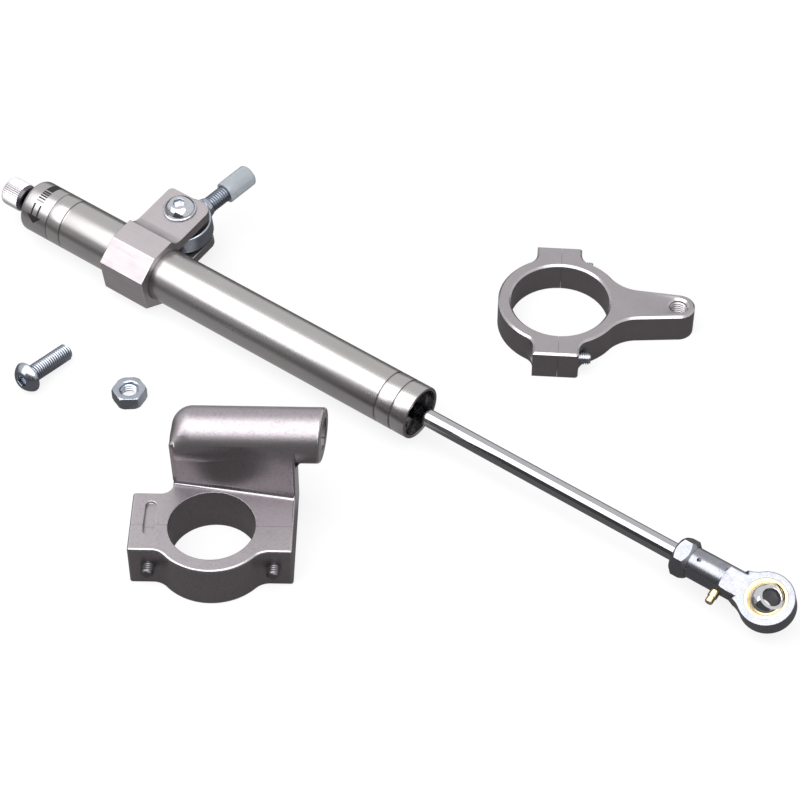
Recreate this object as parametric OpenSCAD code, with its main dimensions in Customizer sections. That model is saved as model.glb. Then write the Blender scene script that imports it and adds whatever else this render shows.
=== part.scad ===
// Motorcycle steering damper with its mounting kit, laid out as it comes out of the box.
// The damper lies along X. The origin is the centre of the ball in the rod end.
// Lengths are in millimetres. Threads are plain cylinders at their outer diameter.

/* [Damper tube] */
// Outside diameter of the damper tube
tube_od = 25; // [24:0.5:28]
// Wall of the damper tube
tube_wall = 1.5; // [1.2:0.1:1.8]
// Length of the damper tube, from the end cap to the open end
tube_len = 210.7; // [205:0.1:240]
// Depth of the rolled grooves that hold the two heads
groove_depth = 0.35; // [0.2:0.05:0.5]
// Width of the rolled grooves
groove_w = 0.8; // [0.5:0.1:1.2]
// Spacing of the rolled grooves, from each end of the tube
groove_pitch = 8.2; // [7.8:0.1:9]
// Depth of the open recess behind the snap ring
recess_depth = 5.2; // [4:0.1:7]

/* [End cap and adjuster] */
// Visible length of the end cap's cylindrical part
cap_len = 16.4; // [14:0.2:18]
// Radius of the end cap's outer edge
cap_round = 1.8; // [1:0.1:3]
// Height of the cone on the end cap's face
cap_cone = 3.6; // [1:0.1:4]
// Diameter of the boss that carries the adjuster
boss_d = 9.4; // [8:0.2:11]
// Distance from the end cap's edge to the end of that boss
boss_len = 4.7; // [4.4:0.1:6]
// Gap between the boss and the knob, where the spindle shows
knob_gap = 1.1; // [0.8:0.1:2]
// Diameter of the adjuster knob
knob_d = 14; // [12:0.5:16]
// Length of the adjuster knob
knob_len = 11.8; // [10:0.1:13]
// Length of the knob's smooth shoulder
knob_shoulder = 1.8; // [1:0.1:3]
// Number of knurl ridges round the knob
knurl_count = 44; // [30:2:60]
// Depth of the knurl
knurl_depth = 0.35; // [0.2:0.05:0.5]
// Diameter of the adjuster spindle
spindle_d = 6; // [5.5:0.1:6.4]
// Diameter of the needle's stem
needle_d = 3; // [2.4:0.1:3.4]
// Bore of the orifice that the needle throttles
orifice_d = 2.4; // [2:0.1:2.8]

/* [Piston rod] */
// Diameter of the piston rod
rod_d = 8; // [7:0.5:9]
// Rod that shows between the tube and the rod end, fully drawn out
rod_out = 134.4; // [128:0.1:150]
// Diameter of the rod's inner end, under the piston and its nut
tail_d = 6; // [5:0.2:6.4]
// Length of the piston
piston_len = 10; // [9:0.5:13]
// Length of the rubber bumper behind the piston
bumper_len = 8.4; // [5:0.2:12]
// Bore of the inner tube that the piston runs in
bore_d = 15; // [14.5:0.1:15.5]
// Wall of the inner tube
inner_wall = 1; // [0.8:0.1:1.2]

/* [Rod end] */
// Width across the flats of the rod end's hexagon
hex_af = 16; // [15:0.5:18]
// Length of the hexagon
hex_len = 7.6; // [6:0.1:10]
// Diameter of the shank
shank_d = 13.8; // [13:0.2:15]
// Distance from the hexagon's outer face to the ball's centre
eye_reach = 43.7; // [42:0.1:52]
// Outside diameter of the eye
eye_od = 24.4; // [23:0.2:27]
// Thickness of the eye between its flats
eye_thick = 9; // [8.6:0.1:10]
// Radius of the spot face that forms the flats
spot_r = 20.5; // [19:0.5:22]
// Diameter of the bearing ball
ball_d = 15.88; // [15.5:0.01:16.2]
// Width of the ball over its two faces
ball_w = 12; // [11.4:0.1:12.4]
// Bore of the ball, for an M8 screw
ball_bore = 8; // [7:0.1:8.2]
// Outside diameter of the brass race
race_od = 18.4; // [18:0.1:20]
// Turn of the rod end about the rod
rod_end_turn = 20; // [-90:1:90]
// Lean of the ball in its race
ball_lean = 27; // [0:1:27]
// Direction of that lean, from the rod's axis
ball_lean_dir = 40; // [0:5:355]

/* [Body clamp] */
// Width of the clamp block along the tube
clamp_w = 25.4; // [24:0.2:30]
// Distance from the cap's edge to the middle of the clamp block
clamp_at = 67.6; // [50:0.1:140]
// Half height of the clamp block
clamp_half = 15.8; // [15.4:0.1:18]
// Distance from the axis to the block's front flat
clamp_front = 16.2; // [15.8:0.1:18]
// Half height of the front flat
clamp_front_half = 8.6; // [7:0.1:10]
// Turn of the clamp about the tube
clamp_turn = 7; // [0:0.5:10]
// Gap between the two ears
ear_gap = 13; // [12.7:0.1:14]
// Thickness of each ear
ear_t = 5; // [4.4:0.1:6]
// Distance from the tube's axis to the pivot screw
pivot_y = 28; // [27.8:0.1:32]
// Distance from the pivot screw to the tip of the ears
ear_tip = 8.8; // [8:0.1:12]

/* [Stud rod end] */
// Outside diameter of the stud rod end's eye
stud_eye_od = 28; // [27:0.2:28.4]
// Thickness of its eye
stud_eye_thick = 9; // [8:0.1:9.4]
// Diameter of its ball
stud_ball_d = 19.05; // [18.6:0.05:19.6]
// Width of its ball over the two faces
stud_ball_w = 12; // [11.6:0.1:12.4]
// Outside diameter of its race
stud_race_od = 22; // [21.4:0.1:23]
// Diameter of the stud
stud_d = 8; // [7:0.1:8.4]
// Length of the stud from the eye's rim
stud_len = 27.4; // [22:0.2:32]
// Swing of the stud away from square to the tube
stud_swing = 8; // [-60:1:60]
// Outside diameter of the thread protector
sleeve_od = 10.8; // [10:0.1:12]
// Length of the thread protector
sleeve_len = 16; // [12:0.5:19]

/* [Fork clamp] */
// Bore of the fork clamp
fork_bore = 45.5; // [44:0.5:47]
// Outside diameter of its ring
fork_ring_od = 57.2; // [55:0.2:58]
// Thickness of the fork clamp
fork_t = 15; // [13:0.5:18]
// Reach of the lugs from the bore's centre
fork_lug_reach = 35.3; // [35:0.1:37]
// Depth of the arm half's lugs from the split
fork_lug_arm = 9.5; // [9:0.5:10.5]
// Depth of the cap half's lugs from the split
fork_lug_cap = 11.5; // [11.5:0.5:13]
// Distance from the bore's centre to the arm's thread
fork_reach = 54.4; // [50:0.2:62]
// Radius of the arm's round tip
fork_tip_r = 7.6; // [7:0.1:9]
// Taper of the arm on each side
fork_taper = 5.7; // [3:0.1:7]
// Distance from the bore's centre to each pinch screw
fork_screw_at = 29.4; // [29.2:0.1:30]
// Distance along the damper from the ball back to the bore's centre
fork_back = 169.7; // [150:0.1:190]
// Distance across the damper to the bore's centre
fork_side = 97.1; // [90:0.1:130]
// Heading of the arm
fork_heading = 32.8; // [20:0.1:45]

/* [Frame bracket] */
// Bore of the frame bracket
bracket_bore = 37; // [35:0.5:38]
// Outside radius of its front cap
bracket_ring_r = 25.2; // [24.5:0.1:26]
// Height of the clamp part
bracket_h = 21.5; // [20:0.5:24]
// Half width over the lugs
bracket_half = 34.7; // [34:0.1:37]
// Depth of the front lugs from the split
bracket_front = 14; // [12:0.5:15]
// Distance from the split to the back edge
bracket_back = 18; // [17:0.5:20]
// Distance from the bore's centre to each pinch screw
bracket_screw_at = 26.5; // [26:0.1:27.2]
// Left side of the upright web
web_left = 18; // [14:0.5:20]
// Distance from the split to the web's front face, at the left
web_front = 23.7; // [22:0.1:26]
// How much nearer the web's front face comes at the right
web_skew = 7.3; // [3:0.1:8.5]
// Distance from the split to the web's back
web_back = 38; // [34:0.5:42]
// Diameter of the boss on top of the web
boss_od = 24; // [22:0.5:26]
// Distance from the split to the boss's axis
boss_y = 31.2; // [31:0.1:34]
// Height of the boss's axis
boss_z = 44.7; // [42:0.1:50]
// Radius round the boss's closed end
boss_round = 9; // [4:0.5:10]
// Right end of the boss, from the bore's centre
boss_right = 46.4; // [43:0.1:52]
// Angle of the boss's open face, which is square to the web's front
boss_face = 8; // [0:1:12]
// Depth of the boss's thread
boss_thread_depth = 30; // [20:1:40]
// Distance along the damper from the ball back to the bore's centre
bracket_away = 207.3; // [190:0.1:230]
// Distance across the damper to the bore's centre
bracket_side = 108.5; // [100:0.1:140]
// Heading of the bracket's split
bracket_heading = 35.6; // [20:0.1:50]

/* [Fasteners] */
// Diameter of the pivot screw and of the loose screw
m8_d = 8; // [7:0.1:8]
// Diameter of their button heads
button_d = 14.5; // [13:0.1:16]
// Height of their button heads
button_h = 4.4; // [3.5:0.1:5]
// Diameter of the pivot screw's flange, the washer face under its dome
flange_d = 17.5; // [15:0.1:18]
// Length of the pivot screw and of the loose screw
m8_len = 25; // [24:1:26]
// Width across the flats of the M8 socket
m8_socket_af = 5; // [4:0.5:6]
// Diameter of the pinch screws
m6_d = 6; // [5:0.1:6]
// Diameter of their heads
m6_head_d = 10; // [9:0.1:10]
// Height of their heads
m6_head_h = 6; // [5:0.1:6]
// Length of the fork clamp's pinch screws
fork_screw_len = 20; // [18:1:22]
// Length of the bracket's pinch screws
bracket_screw_len = 25; // [24:1:28]
// Width across the flats of the loose nut
nut_af = 14; // [13:0.5:15]
// Height of the loose nut
nut_h = 6.5; // [5:0.1:8]
// Place of the loose screw's head along the damper, back from the ball
screw_back = 338.4; // [330:0.1:350]
// Place of the loose screw's head across the damper
screw_side = 81; // [70:0.1:90]
// Distance along the damper from the loose screw's head to the nut
nut_ahead = 40.7; // [36:0.1:60]
// Distance across the damper from the loose screw's head to the nut
nut_across = 22.1; // [10:0.1:30]

/* [Hidden] */
$fn = 96;

// Clearances
fit = 0.05;       // between pieces of one body that are pushed or screwed together
running = 0.05;   // radial, between a piece and what it turns or slides in
split_gap = 0.1;  // between the two halves of a clamp
side_gap = 0.3;   // between pieces that only pass each other
over = 1;         // overshoot of a cut past the face that it opens
sunk = 0.05;      // how far the ends of a fillet lie inside the faces that it joins

// Finishes
satin = [0.78, 0.78, 0.77];
machined = [0.66, 0.67, 0.68];
cast_grey = [0.58, 0.58, 0.59];
chrome = [0.86, 0.87, 0.88];
zinc = [0.72, 0.76, 0.79];
steel = [0.60, 0.60, 0.61];
brass = [0.83, 0.68, 0.34];
bronze = [0.62, 0.47, 0.30];
rubber = [0.12, 0.12, 0.12];
ptfe = [0.24, 0.22, 0.20];
vinyl = [0.66, 0.72, 0.75];

// Places along the damper, measured from the edge of the end cap's face
tube_id = tube_od - 2 * tube_wall;
tube_r = tube_od / 2;
core_r = tube_id / 2 - fit;
tube_start = cap_len;
tube_end = cap_len + tube_len;
hex_x = tube_end + rod_out;
eye_x = hex_x + eye_reach;
spigot_len = 10.2;
cap_end = cap_len + spigot_len;

// End cap and adjuster
chamber_r = spindle_d / 2 + 1.2;
chamber_x = 9;
flange_t = 2;
flange_r = chamber_r - 2 * fit;
spindle_start = -boss_len - knob_gap - knob_len + 2.5;
spindle_end = 18;
clip_t = 0.8;
needle_start = 12;
needle_play = 2;
knob_x = -boss_len - knob_gap - knob_len;
oring_d = 2;
oring_squeeze = 0.02;
spindle_groove_x = 4.2;
spindle_groove_w = 1.6;
spindle_groove_d = 0.6;
knob_screw_d = 2.5;
knob_screw_len = 9;

// Valve block
valve_x = cap_end + 0.2;
valve_flange = 6;
shoulder_x = valve_x + valve_flange;
valve_spigot = 4;
valve_chamber_r = needle_d / 2 + 0.9;
valve_chamber_len = 4.8;
cone_len = 3.5;
needle_tip_x = valve_x + valve_chamber_len + 0.5;
port_d = 2;

// Head gland, measured back from the open end
snap_t = 1.2;
snap_groove_h = 0.6;
snap_play = 0.05;
gland_end = tube_end - recess_depth - snap_t - 2 * snap_play;
gland_len = 15.2;
gland_x = gland_end - gland_len;
gland_spigot = 7;
bush_len = 10;
bush_wall = 1;
bush_x = gland_x - gland_spigot;
seal_len = 4.8;
seal_x = bush_x + bush_len + 1;
seal_r = rod_d / 2 + 3.4;
wiper_len = 2.8;
wiper_x = gland_end - wiper_len + 0.3;
wiper_r = rod_d / 2 + 2.4;

// Inner tube
inner_r = bore_d / 2;
inner_od_r = inner_r + inner_wall;

// Piston, measured back from the gland when the rod is fully out
bumper_x = bush_x - side_gap - bumper_len;
shim_t = 0.35;
shim_radii = [6, 5.2, 4.6];
rod_shoulder = bumper_x - side_gap;
shim_x = rod_shoulder - len(shim_radii) * shim_t;
piston_x = shim_x - piston_len;
piston_nut_h = 5;
piston_nut_af = 10;
tail_x = piston_x - piston_nut_h - 1.5;
piston_r = inner_r - 0.2;
band_w = 3;
band_depth = 1.1;
band_slit = 0.5;
piston_ports = 6;
piston_port_d = 1.4;
piston_port_at = 4.9;

// Rod end
rod_thread = 17;
bore_depth = 19.5;
inspection_x = 11.5;
inspection_d = 2;
neck_fillet = 12;
nipple_x = 22.8;
nipple_r = 2.15;
nipple_len = 6.1;
nipple_stem = 2.3;
nipple_seat = sqrt(pow(shank_d / 2, 2) - pow(nipple_r, 2)) - 2 * fit;
race_lead = 0.7;
hex_bevel = 2;

// Body clamp and stud rod end
clamp_slope = 5;
clamp_top_back = 7.5;
ear_out = ear_gap / 2 + ear_t;
cove_r = 7;
cove_drop = clamp_half - ear_out;
cove_run = sqrt(cove_r * cove_r - pow(cove_r - cove_drop, 2));
ear_end = pivot_y + ear_tip;
ear_corner_left = 2.5;
ear_corner_right = 5;
stud_neck = 3;
stud_root_r = stud_d / 2 + 1.4;
sleeve_end_wall = 1.6;
sleeve_start = stud_len - sleeve_len + sleeve_end_wall;

// The surface that the damper and its kit lie on
floor_z = -(clamp_half * cos(clamp_turn) + clamp_slope * sin(clamp_turn));

// Fork clamp
fork_hole_r = m8_d / 2;
fork_lug_fillet = 6;
fork_arm_fillet = 18;
countersink = 1;
fork_seat = fork_lug_cap - m6_head_h - 0.5;

// Frame bracket
bracket_fillet = 8;
bracket_seat = bracket_screw_len - bracket_front - split_gap / 2 - 4.5;
slot_w = 4.5;
slot_len = 18.6;
slot_depth = 1.8;
slot_mid = 3.7;
web_corner = 5;
web_blend = 20;
gusset_r = 6;
mouth_bevel = 3;

// Screws
m8_tip = 0.9;
button_flange_t = 1;
flange_step = 0.8;
flange_rim = 0.3;
flange_edge = 0.25;
button_rim = 0.7;

// Loose pieces
lean = atan((button_d - m8_d) / 2 / (m8_len - m8_tip));
lean_rise = button_d / 2 * cos(lean);
screw_heading = 88;
nut_heading = 40;
nut_back = screw_back - nut_ahead;
nut_side = screw_side - nut_across;
nut_bevel = 0.7;

// Frames of reference

// Turns a profile of [radius, distance from the cap's edge] about the damper's axis
module turned() {
    translate([-eye_x, 0, 0]) rotate([0, 90, 0]) rotate_extrude() children();
}

// Frame of the rod end: x along the rod from the hexagon's face, z square to the eye
module rod_end_frame() {
    translate([-eye_reach, 0, 0]) rotate([rod_end_turn, 0, 0]) children();
}

// Frame of the body clamp: x along the tube from the block's middle, y along the ears
module clamp_frame() {
    translate([clamp_at - eye_x, 0, 0]) rotate([clamp_turn, 0, 0]) children();
}

// Frame of the stud rod end: its ball at the origin, y along the stud
module stud_frame() {
    clamp_frame() translate([0, pivot_y, 0]) rotate([0, 0, -stud_swing]) children();
}

// Frame of the fork clamp: bore at the origin, x along the arm, z up from its underside
module fork_frame() {
    translate([-fork_back, fork_side, floor_z]) rotate([0, 0, fork_heading]) children();
}

// Frame of the frame bracket: bore at the origin, x along the split, z up from its underside
module bracket_frame() {
    translate([-bracket_away, -bracket_side, floor_z])
        rotate([0, 0, bracket_heading]) children();
}

// Shapes that several pieces share

// Half section of a round bar between two places on its axis, with a bevel at each end
module bar(r, x0, x1, bevel0 = 0, bevel1 = 0) {
    polygon([[0, x0], [r - bevel0, x0], [r, x0 + bevel0],
             [r, x1 - bevel1], [r - bevel1, x1], [0, x1]]);
}

// Half section of a ring between two places on its axis
module ring(r_in, r_out, x0, x1) {
    translate([r_in, x0]) square([r_out - r_in, x1 - x0]);
}

// Hexagonal bar of length h with rounded-off corners at the chosen ends
module hex_bar(af, h, bevel0, bevel1) {
    corner = af / sqrt(3);
    intersection() {
        cylinder(r = corner, h = h, $fn = 6);
        rotate_extrude() bar(corner, 0, h, bevel0, bevel1);
    }
}

// Fills the inside corner between a disc of radius R and an edge at height h above its centre
module corner_fill(R, h, r) {
    xc = sqrt(pow(R + r, 2) - pow(h + r, 2));
    difference() {
        polygon([[0, 0], [xc, h], [xc, h + r] * R / (R + r)]);
        translate([xc, h + r]) circle(r);
    }
}

// Socket head screw: the head's seat at z 0, the shank along +z
module cap_screw(d, head_d, head_h, length, socket_af) {
    tip = d * 0.12;
    difference() {
        rotate_extrude() {
            bar(head_d / 2, -head_h, 0, 0.5, 0);
            bar(d / 2, -0.01, length, 0, tip);
        }
        translate([0, 0, -head_h - over]) hex_bar(socket_af, head_h / 2 + over, 0, 0);
    }
}

// Button head screw: the head's seat at z 0, the shank along +z
module button_screw(length, head_d, rim) {
    dome = button_h - rim;
    top_r = head_d * 0.29;
    // The dome passes through the rim's edge and the edge of the flat top
    half = head_d / 2;
    drop = (half * half - top_r * top_r - dome * dome) / (2 * dome);
    dome_r = sqrt(half * half + drop * drop);
    difference() {
        union() {
            rotate_extrude() {
                bar(half, -rim, 0, 0, 0.2);
                bar(m8_d / 2, -0.01, length, 0, m8_tip);
            }
            intersection() {
                translate([0, 0, drop - rim]) sphere(dome_r);
                translate([0, 0, -button_h]) cylinder(r = half, h = dome + 0.01);
            }
        }
        translate([0, 0, -button_h - over]) hex_bar(m8_socket_af, button_h * 0.6 + over, 0, 0);
    }
}

// Ball of a spherical bearing, its bore along z
module bearing_ball(d, w, bore) {
    intersection() {
        sphere(d / 2);
        difference() {
            cylinder(r = d / 2, h = w, center = true);
            cylinder(d = bore, h = w + over, center = true);
        }
    }
}

// Race of a spherical bearing with a lead-in at both faces
module bearing_race(d, od, w, lead) {
    mouth = sqrt(pow(d / 2 + running, 2) - pow(w / 2, 2));
    difference() {
        cylinder(d = od, h = w, center = true);
        sphere(d / 2 + running);
        cylinder(r = mouth, h = w + over, center = true);
        for (side = [0, 1]) mirror([0, 0, side])
            translate([0, 0, w / 2 - lead])
                cylinder(r1 = mouth, r2 = mouth + 2 * lead, h = 2 * lead);
    }
}

// Damper tube and its closed end

module outer_tube() {
    snap_x = gland_end + snap_play;
    color(satin) turned() difference() {
        translate([tube_id / 2, tube_start]) square([tube_wall, tube_len]);
        for (x = [cap_len + groove_pitch, tube_end - groove_pitch, tube_end - 2 * groove_pitch])
            translate([tube_r - groove_depth, x - groove_w / 2]) square([over, groove_w]);
        translate([0, snap_x - snap_play]) square([tube_id / 2 + snap_groove_h, snap_t + 2 * snap_play]);
        translate([tube_r, tube_end]) rotate(45) square(0.8, center = true);
    }
}

module end_cap() {
    groove_mid = cap_len + spigot_len - 4;
    color(satin) turned() difference() {
        union() {
            translate([0, cap_round]) square([tube_r, cap_len - cap_round - 0.3]);
            square([tube_r - cap_round, cap_round + over]);
            intersection() {
                translate([tube_r - cap_round, cap_round]) circle(cap_round);
                translate([tube_r - cap_round, 0]) square([cap_round, cap_round + 0.01]);
            }
            bar(tube_r - 0.4, cap_len - 0.31, cap_len);
            polygon([[0, -cap_cone], [boss_d / 2, -cap_cone], [tube_r - cap_round, 0],
                     [tube_r - cap_round, over], [0, over]]);
            bar(boss_d / 2, -boss_len, over, 0.4, 0);
            bar(core_r, cap_len - 0.01, cap_end, 0, 0.5);
        }
        translate([0, -boss_len - over]) square([spindle_d / 2 + running, chamber_x + boss_len + 2 * over]);
        translate([0, chamber_x]) square([chamber_r, cap_end]);
        ring(chamber_r - over, chamber_r + 0.5, chamber_x + flange_t + side_gap,
             chamber_x + flange_t + side_gap + clip_t);
        ring(core_r - oring_d * 0.8, tube_r, groove_mid - oring_d * 0.6, groove_mid + oring_d * 0.6);
    }
}

module end_cap_oring() {
    groove_mid = cap_len + spigot_len - 4;
    color(rubber) turned() translate([core_r - oring_d * 0.8 + oring_d / 2, groove_mid])
        intersection() {
            circle(oring_d / 2);
            translate([-oring_d, -oring_d]) square([oring_d * 1.3, oring_d * 2]);
        }
}

// Adjuster

module adjuster_knob() {
    r = knob_d / 2;
    pitch = 360 / knurl_count;
    shoulder_start = knob_x + knob_len - knob_shoulder;
    color(satin) translate([-eye_x, 0, 0]) rotate([0, 90, 0]) difference() {
        intersection() {
            translate([0, 0, knob_x]) linear_extrude(knob_len)
                polygon([for (i = [0 : knurl_count - 1], k = [0, 1])
                        (r - k * knurl_depth) * [cos((i + k / 2) * pitch), sin((i + k / 2) * pitch)]]);
            rotate_extrude() {
                bar(r, knob_x, shoulder_start, 1.2, 0.5);
                bar(r - 0.8, shoulder_start - 0.01, knob_x + knob_len, 0, 0.4);
            }
        }
        rotate_extrude() translate([0, spindle_start - fit]) square([spindle_d / 2 + fit, knob_len]);
        rotate_extrude() translate([0, knob_x - over]) square([knob_screw_d / 2 + fit, knob_len]);
        rotate_extrude() translate([0, knob_x - over]) square([2.3, 1.2 + over]);
    }
}

module knob_screw() {
    color(steel) turned() {
        bar(2.2, knob_x + 0.2, knob_x + 1.2, 0.4, 0);
        bar(knob_screw_d / 2, knob_x + 1.1, knob_x + 1.2 + knob_screw_len, 0, 0.3);
    }
}

module adjuster_spindle() {
    r = spindle_d / 2;
    color(steel) turned() difference() {
        union() {
            bar(r, spindle_start, spindle_end);
            bar(flange_r, chamber_x + fit, chamber_x + flange_t);
        }
        translate([0, spindle_start - over])
            square([knob_screw_d / 2 + fit, knob_x + 1.2 + knob_screw_len + 0.5 - spindle_start + over]);
        translate([0, needle_start - needle_play]) square([needle_d / 2 + running, spindle_end]);
        ring(r - spindle_groove_d, r + over, spindle_groove_x, spindle_groove_x + spindle_groove_w);
    }
}

module spindle_oring() {
    r = spindle_d / 2;
    color(rubber) turned() ring(r - spindle_groove_d + fit, r + running - oring_squeeze,
                                spindle_groove_x + 2 * fit, spindle_groove_x + spindle_groove_w - 2 * fit);
}

module spindle_clip() {
    x = chamber_x + flange_t + side_gap + fit;
    color(steel) turned() ring(spindle_d / 2 + side_gap, chamber_r + 0.5 - fit, x, x + clip_t - 2 * fit);
}

module adjuster_needle() {
    r = needle_d / 2;
    color(steel) turned()
        polygon([[0, needle_start], [r, needle_start], [r, needle_tip_x - cone_len],
                 [0.3, needle_tip_x], [0, needle_tip_x]]);
}

// Base valve and inner tube

module valve_block() {
    port_at = (inner_od_r + tube_id / 2) / 2;
    color(machined) difference() {
        turned() difference() {
            union() {
                bar(core_r, valve_x, shoulder_x, 0.4, 0.4);
                bar(inner_r - fit, shoulder_x - 0.01, shoulder_x + valve_spigot, 0, 0.5);
            }
            translate([0, valve_x - over]) square([valve_chamber_r, valve_chamber_len + over]);
            translate([0, valve_x]) square([orifice_d / 2, valve_flange + valve_spigot + over]);
        }
        translate([-eye_x, 0, 0]) rotate([0, 90, 0]) for (turn = [45 : 90 : 315]) rotate([0, 0, turn]) {
            translate([0, 0, valve_x + 2]) rotate([0, 90, 0]) cylinder(d = port_d, h = port_at);
            translate([port_at, 0, valve_x + 2]) cylinder(d = port_d * 0.8, h = valve_flange);
        }
    }
}

module inner_tube() {
    color(machined) turned()
        translate([inner_r, shoulder_x]) square([inner_wall, gland_x - shoulder_x]);
}

// Head gland at the open end

module head_gland() {
    groove_mid = gland_x + 4;
    color(machined) turned() difference() {
        union() {
            bar(core_r, gland_x, gland_end, 0.4, 0.4);
            bar(inner_r - fit, bush_x, gland_x + 0.01, 0.5, 0);
        }
        translate([0, bush_x - over]) square([rod_d / 2 + running + side_gap, gland_len + 3 * gland_spigot]);
        translate([0, bush_x - over]) square([rod_d / 2 + running + bush_wall + fit, bush_len + over]);
        translate([0, seal_x - fit]) square([seal_r + fit, seal_len + 2 * fit]);
        translate([0, wiper_x - fit]) square([wiper_r + fit, wiper_len + over]);
        ring(core_r - oring_d * 0.8, tube_r, groove_mid - oring_d * 0.6, groove_mid + oring_d * 0.6);
    }
}

module gland_oring() {
    groove_mid = gland_x + 4;
    color(rubber) turned() translate([core_r - oring_d * 0.8 + oring_d / 2, groove_mid])
        intersection() {
            circle(oring_d / 2);
            translate([-oring_d, -oring_d]) square([oring_d * 1.3, oring_d * 2]);
        }
}

module guide_bush() {
    r = rod_d / 2 + running;
    color(bronze) turned() ring(r, r + bush_wall, bush_x, bush_x + bush_len);
}

module rod_seal() {
    r = rod_d / 2 + running;
    color(rubber) turned() difference() {
        ring(r, seal_r, seal_x, seal_x + seal_len);
        translate([(r + seal_r) / 2 - 0.6, seal_x - over]) square([1.2, 2 + over]);
    }
}

module rod_wiper() {
    r = rod_d / 2 + running;
    color(rubber) turned() {
        ring(r + 0.6, wiper_r, wiper_x, wiper_x + wiper_len - 0.3);
        polygon([[r, wiper_x], [r + 0.7, wiper_x], [r + 0.7, wiper_x + wiper_len],
                 [r, wiper_x + wiper_len + 0.8]]);
    }
}

// Internal snap ring: a ring that is open at the bottom and ends in two holed ears
module snap_ring() {
    r_out = tube_id / 2 + snap_groove_h - fit;
    r_in = r_out - 1.9;
    ear_r = 1.7;
    ear_at = r_out - ear_r - 0.9;
    opening = 22;
    color(steel) translate([gland_end + snap_play - eye_x, 0, 0]) rotate([90, 0, 90])
        linear_extrude(snap_t) difference() {
            union() {
                difference() {
                    circle(r_out);
                    circle(r_in);
                    polygon([[0, 0], for (a = [-opening : opening : opening])
                        2 * r_out * [sin(a), -cos(a)]]);
                }
                for (side = [-1, 1]) rotate(side * opening) translate([0, -ear_at]) circle(ear_r);
            }
            for (side = [-1, 1]) rotate(side * opening) translate([0, -ear_at]) circle(0.65);
        }
}

// Piston rod and what it carries inside the tube

module piston_rod() {
    color(chrome) turned() {
        bar(rod_d / 2, rod_shoulder, hex_x + rod_thread, 0, 0.6);
        bar(tail_d / 2, tail_x, rod_shoulder + 0.01, 0.5, 0);
    }
}

module piston() {
    band_x = piston_x + (piston_len - band_w) / 2;
    color(machined) difference() {
        turned() difference() {
            bar(piston_r, piston_x, shim_x, 0.5, 0.5);
            translate([0, piston_x - over]) square([tail_d / 2 + fit, piston_len + 2 * over]);
            ring(piston_r - band_depth, piston_r + over, band_x, band_x + band_w);
        }
        translate([piston_x - eye_x - over, 0, 0]) rotate([0, 90, 0])
            for (turn = [0 : 360 / piston_ports : 359]) rotate([0, 0, turn])
                translate([piston_port_at, 0, 0]) cylinder(d = piston_port_d, h = piston_len + 2 * over);
    }
}

module piston_ring() {
    band_x = piston_x + (piston_len - band_w) / 2;
    color(ptfe) difference() {
        turned() ring(piston_r - band_depth + 2 * running, inner_r - running,
                      band_x + running, band_x + band_w - running);
        translate([band_x - eye_x - over, -band_slit / 2, 0])
            cube([band_w + 2 * over, band_slit, bore_d]);
    }
}

module valve_shims() {
    color(steel) for (i = [0 : len(shim_radii) - 1])
        turned() ring(tail_d / 2 + fit, shim_radii[i], shim_x + i * shim_t, shim_x + (i + 0.94) * shim_t);
}

module piston_nut() {
    color(zinc) translate([piston_x - piston_nut_h - eye_x, 0, 0]) rotate([0, 90, 0]) difference() {
        hex_bar(piston_nut_af, piston_nut_h, 0.7, 0);
        translate([0, 0, -over]) cylinder(d = tail_d + 2 * fit, h = piston_nut_h + 2 * over);
    }
}

module rebound_bumper() {
    color(rubber) turned() difference() {
        bar(inner_r - 0.9, bumper_x, bumper_x + bumper_len, 0.8, 0.8);
        translate([0, bumper_x - over]) square([rod_d / 2 + fit, bumper_len + 2 * over]);
        ring(inner_r - 1.7, inner_r, bumper_x + bumper_len / 2 - 0.8, bumper_x + bumper_len / 2 + 0.8);
    }
}

// Rod end with its spherical bearing

module rod_end_body() {
    color(zinc) rod_end_frame() difference() {
        union() {
            rotate([0, 90, 0]) hex_bar(hex_af, hex_len, hex_bevel, hex_bevel);
            rotate([0, 90, 0]) cylinder(d = shank_d, h = eye_reach - eye_od / 4);
            translate([eye_reach, 0, -eye_thick / 2]) linear_extrude(eye_thick) {
                circle(d = eye_od);
                for (side = [0, 1]) mirror([0, side]) mirror([1, 0])
                    corner_fill(eye_od / 2, shank_d / 2, neck_fillet);
            }
        }
        for (side = [0, 1]) mirror([0, 0, side])
            translate([eye_reach, 0, eye_thick / 2]) cylinder(r = spot_r, h = shank_d);
        translate([eye_reach, 0, 0]) cylinder(d = race_od + 2 * fit, h = eye_thick + over, center = true);
        translate([-over, 0, 0]) rotate([0, 90, 0]) cylinder(d = rod_d + 2 * fit, h = bore_depth + over);
        translate([inspection_x, 0, 0]) cylinder(d = inspection_d, h = shank_d);
        translate([nipple_x, -nipple_seat, 0]) rotate([90, 0, 0]) {
            cylinder(r = nipple_r + fit, h = shank_d);
            translate([0, 0, -nipple_stem]) cylinder(r = nipple_r * 0.7 + fit, h = nipple_stem + over);
        }
    }
}

module rod_end_race() {
    color(brass) rod_end_frame() translate([eye_reach, 0, 0])
        bearing_race(ball_d, race_od, eye_thick, race_lead);
}

module rod_end_ball() {
    color(chrome) rod_end_frame() translate([eye_reach, 0, 0])
        rotate([0, 0, ball_lean_dir]) rotate([0, ball_lean, 0]) bearing_ball(ball_d, ball_w, ball_bore);
}

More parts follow.
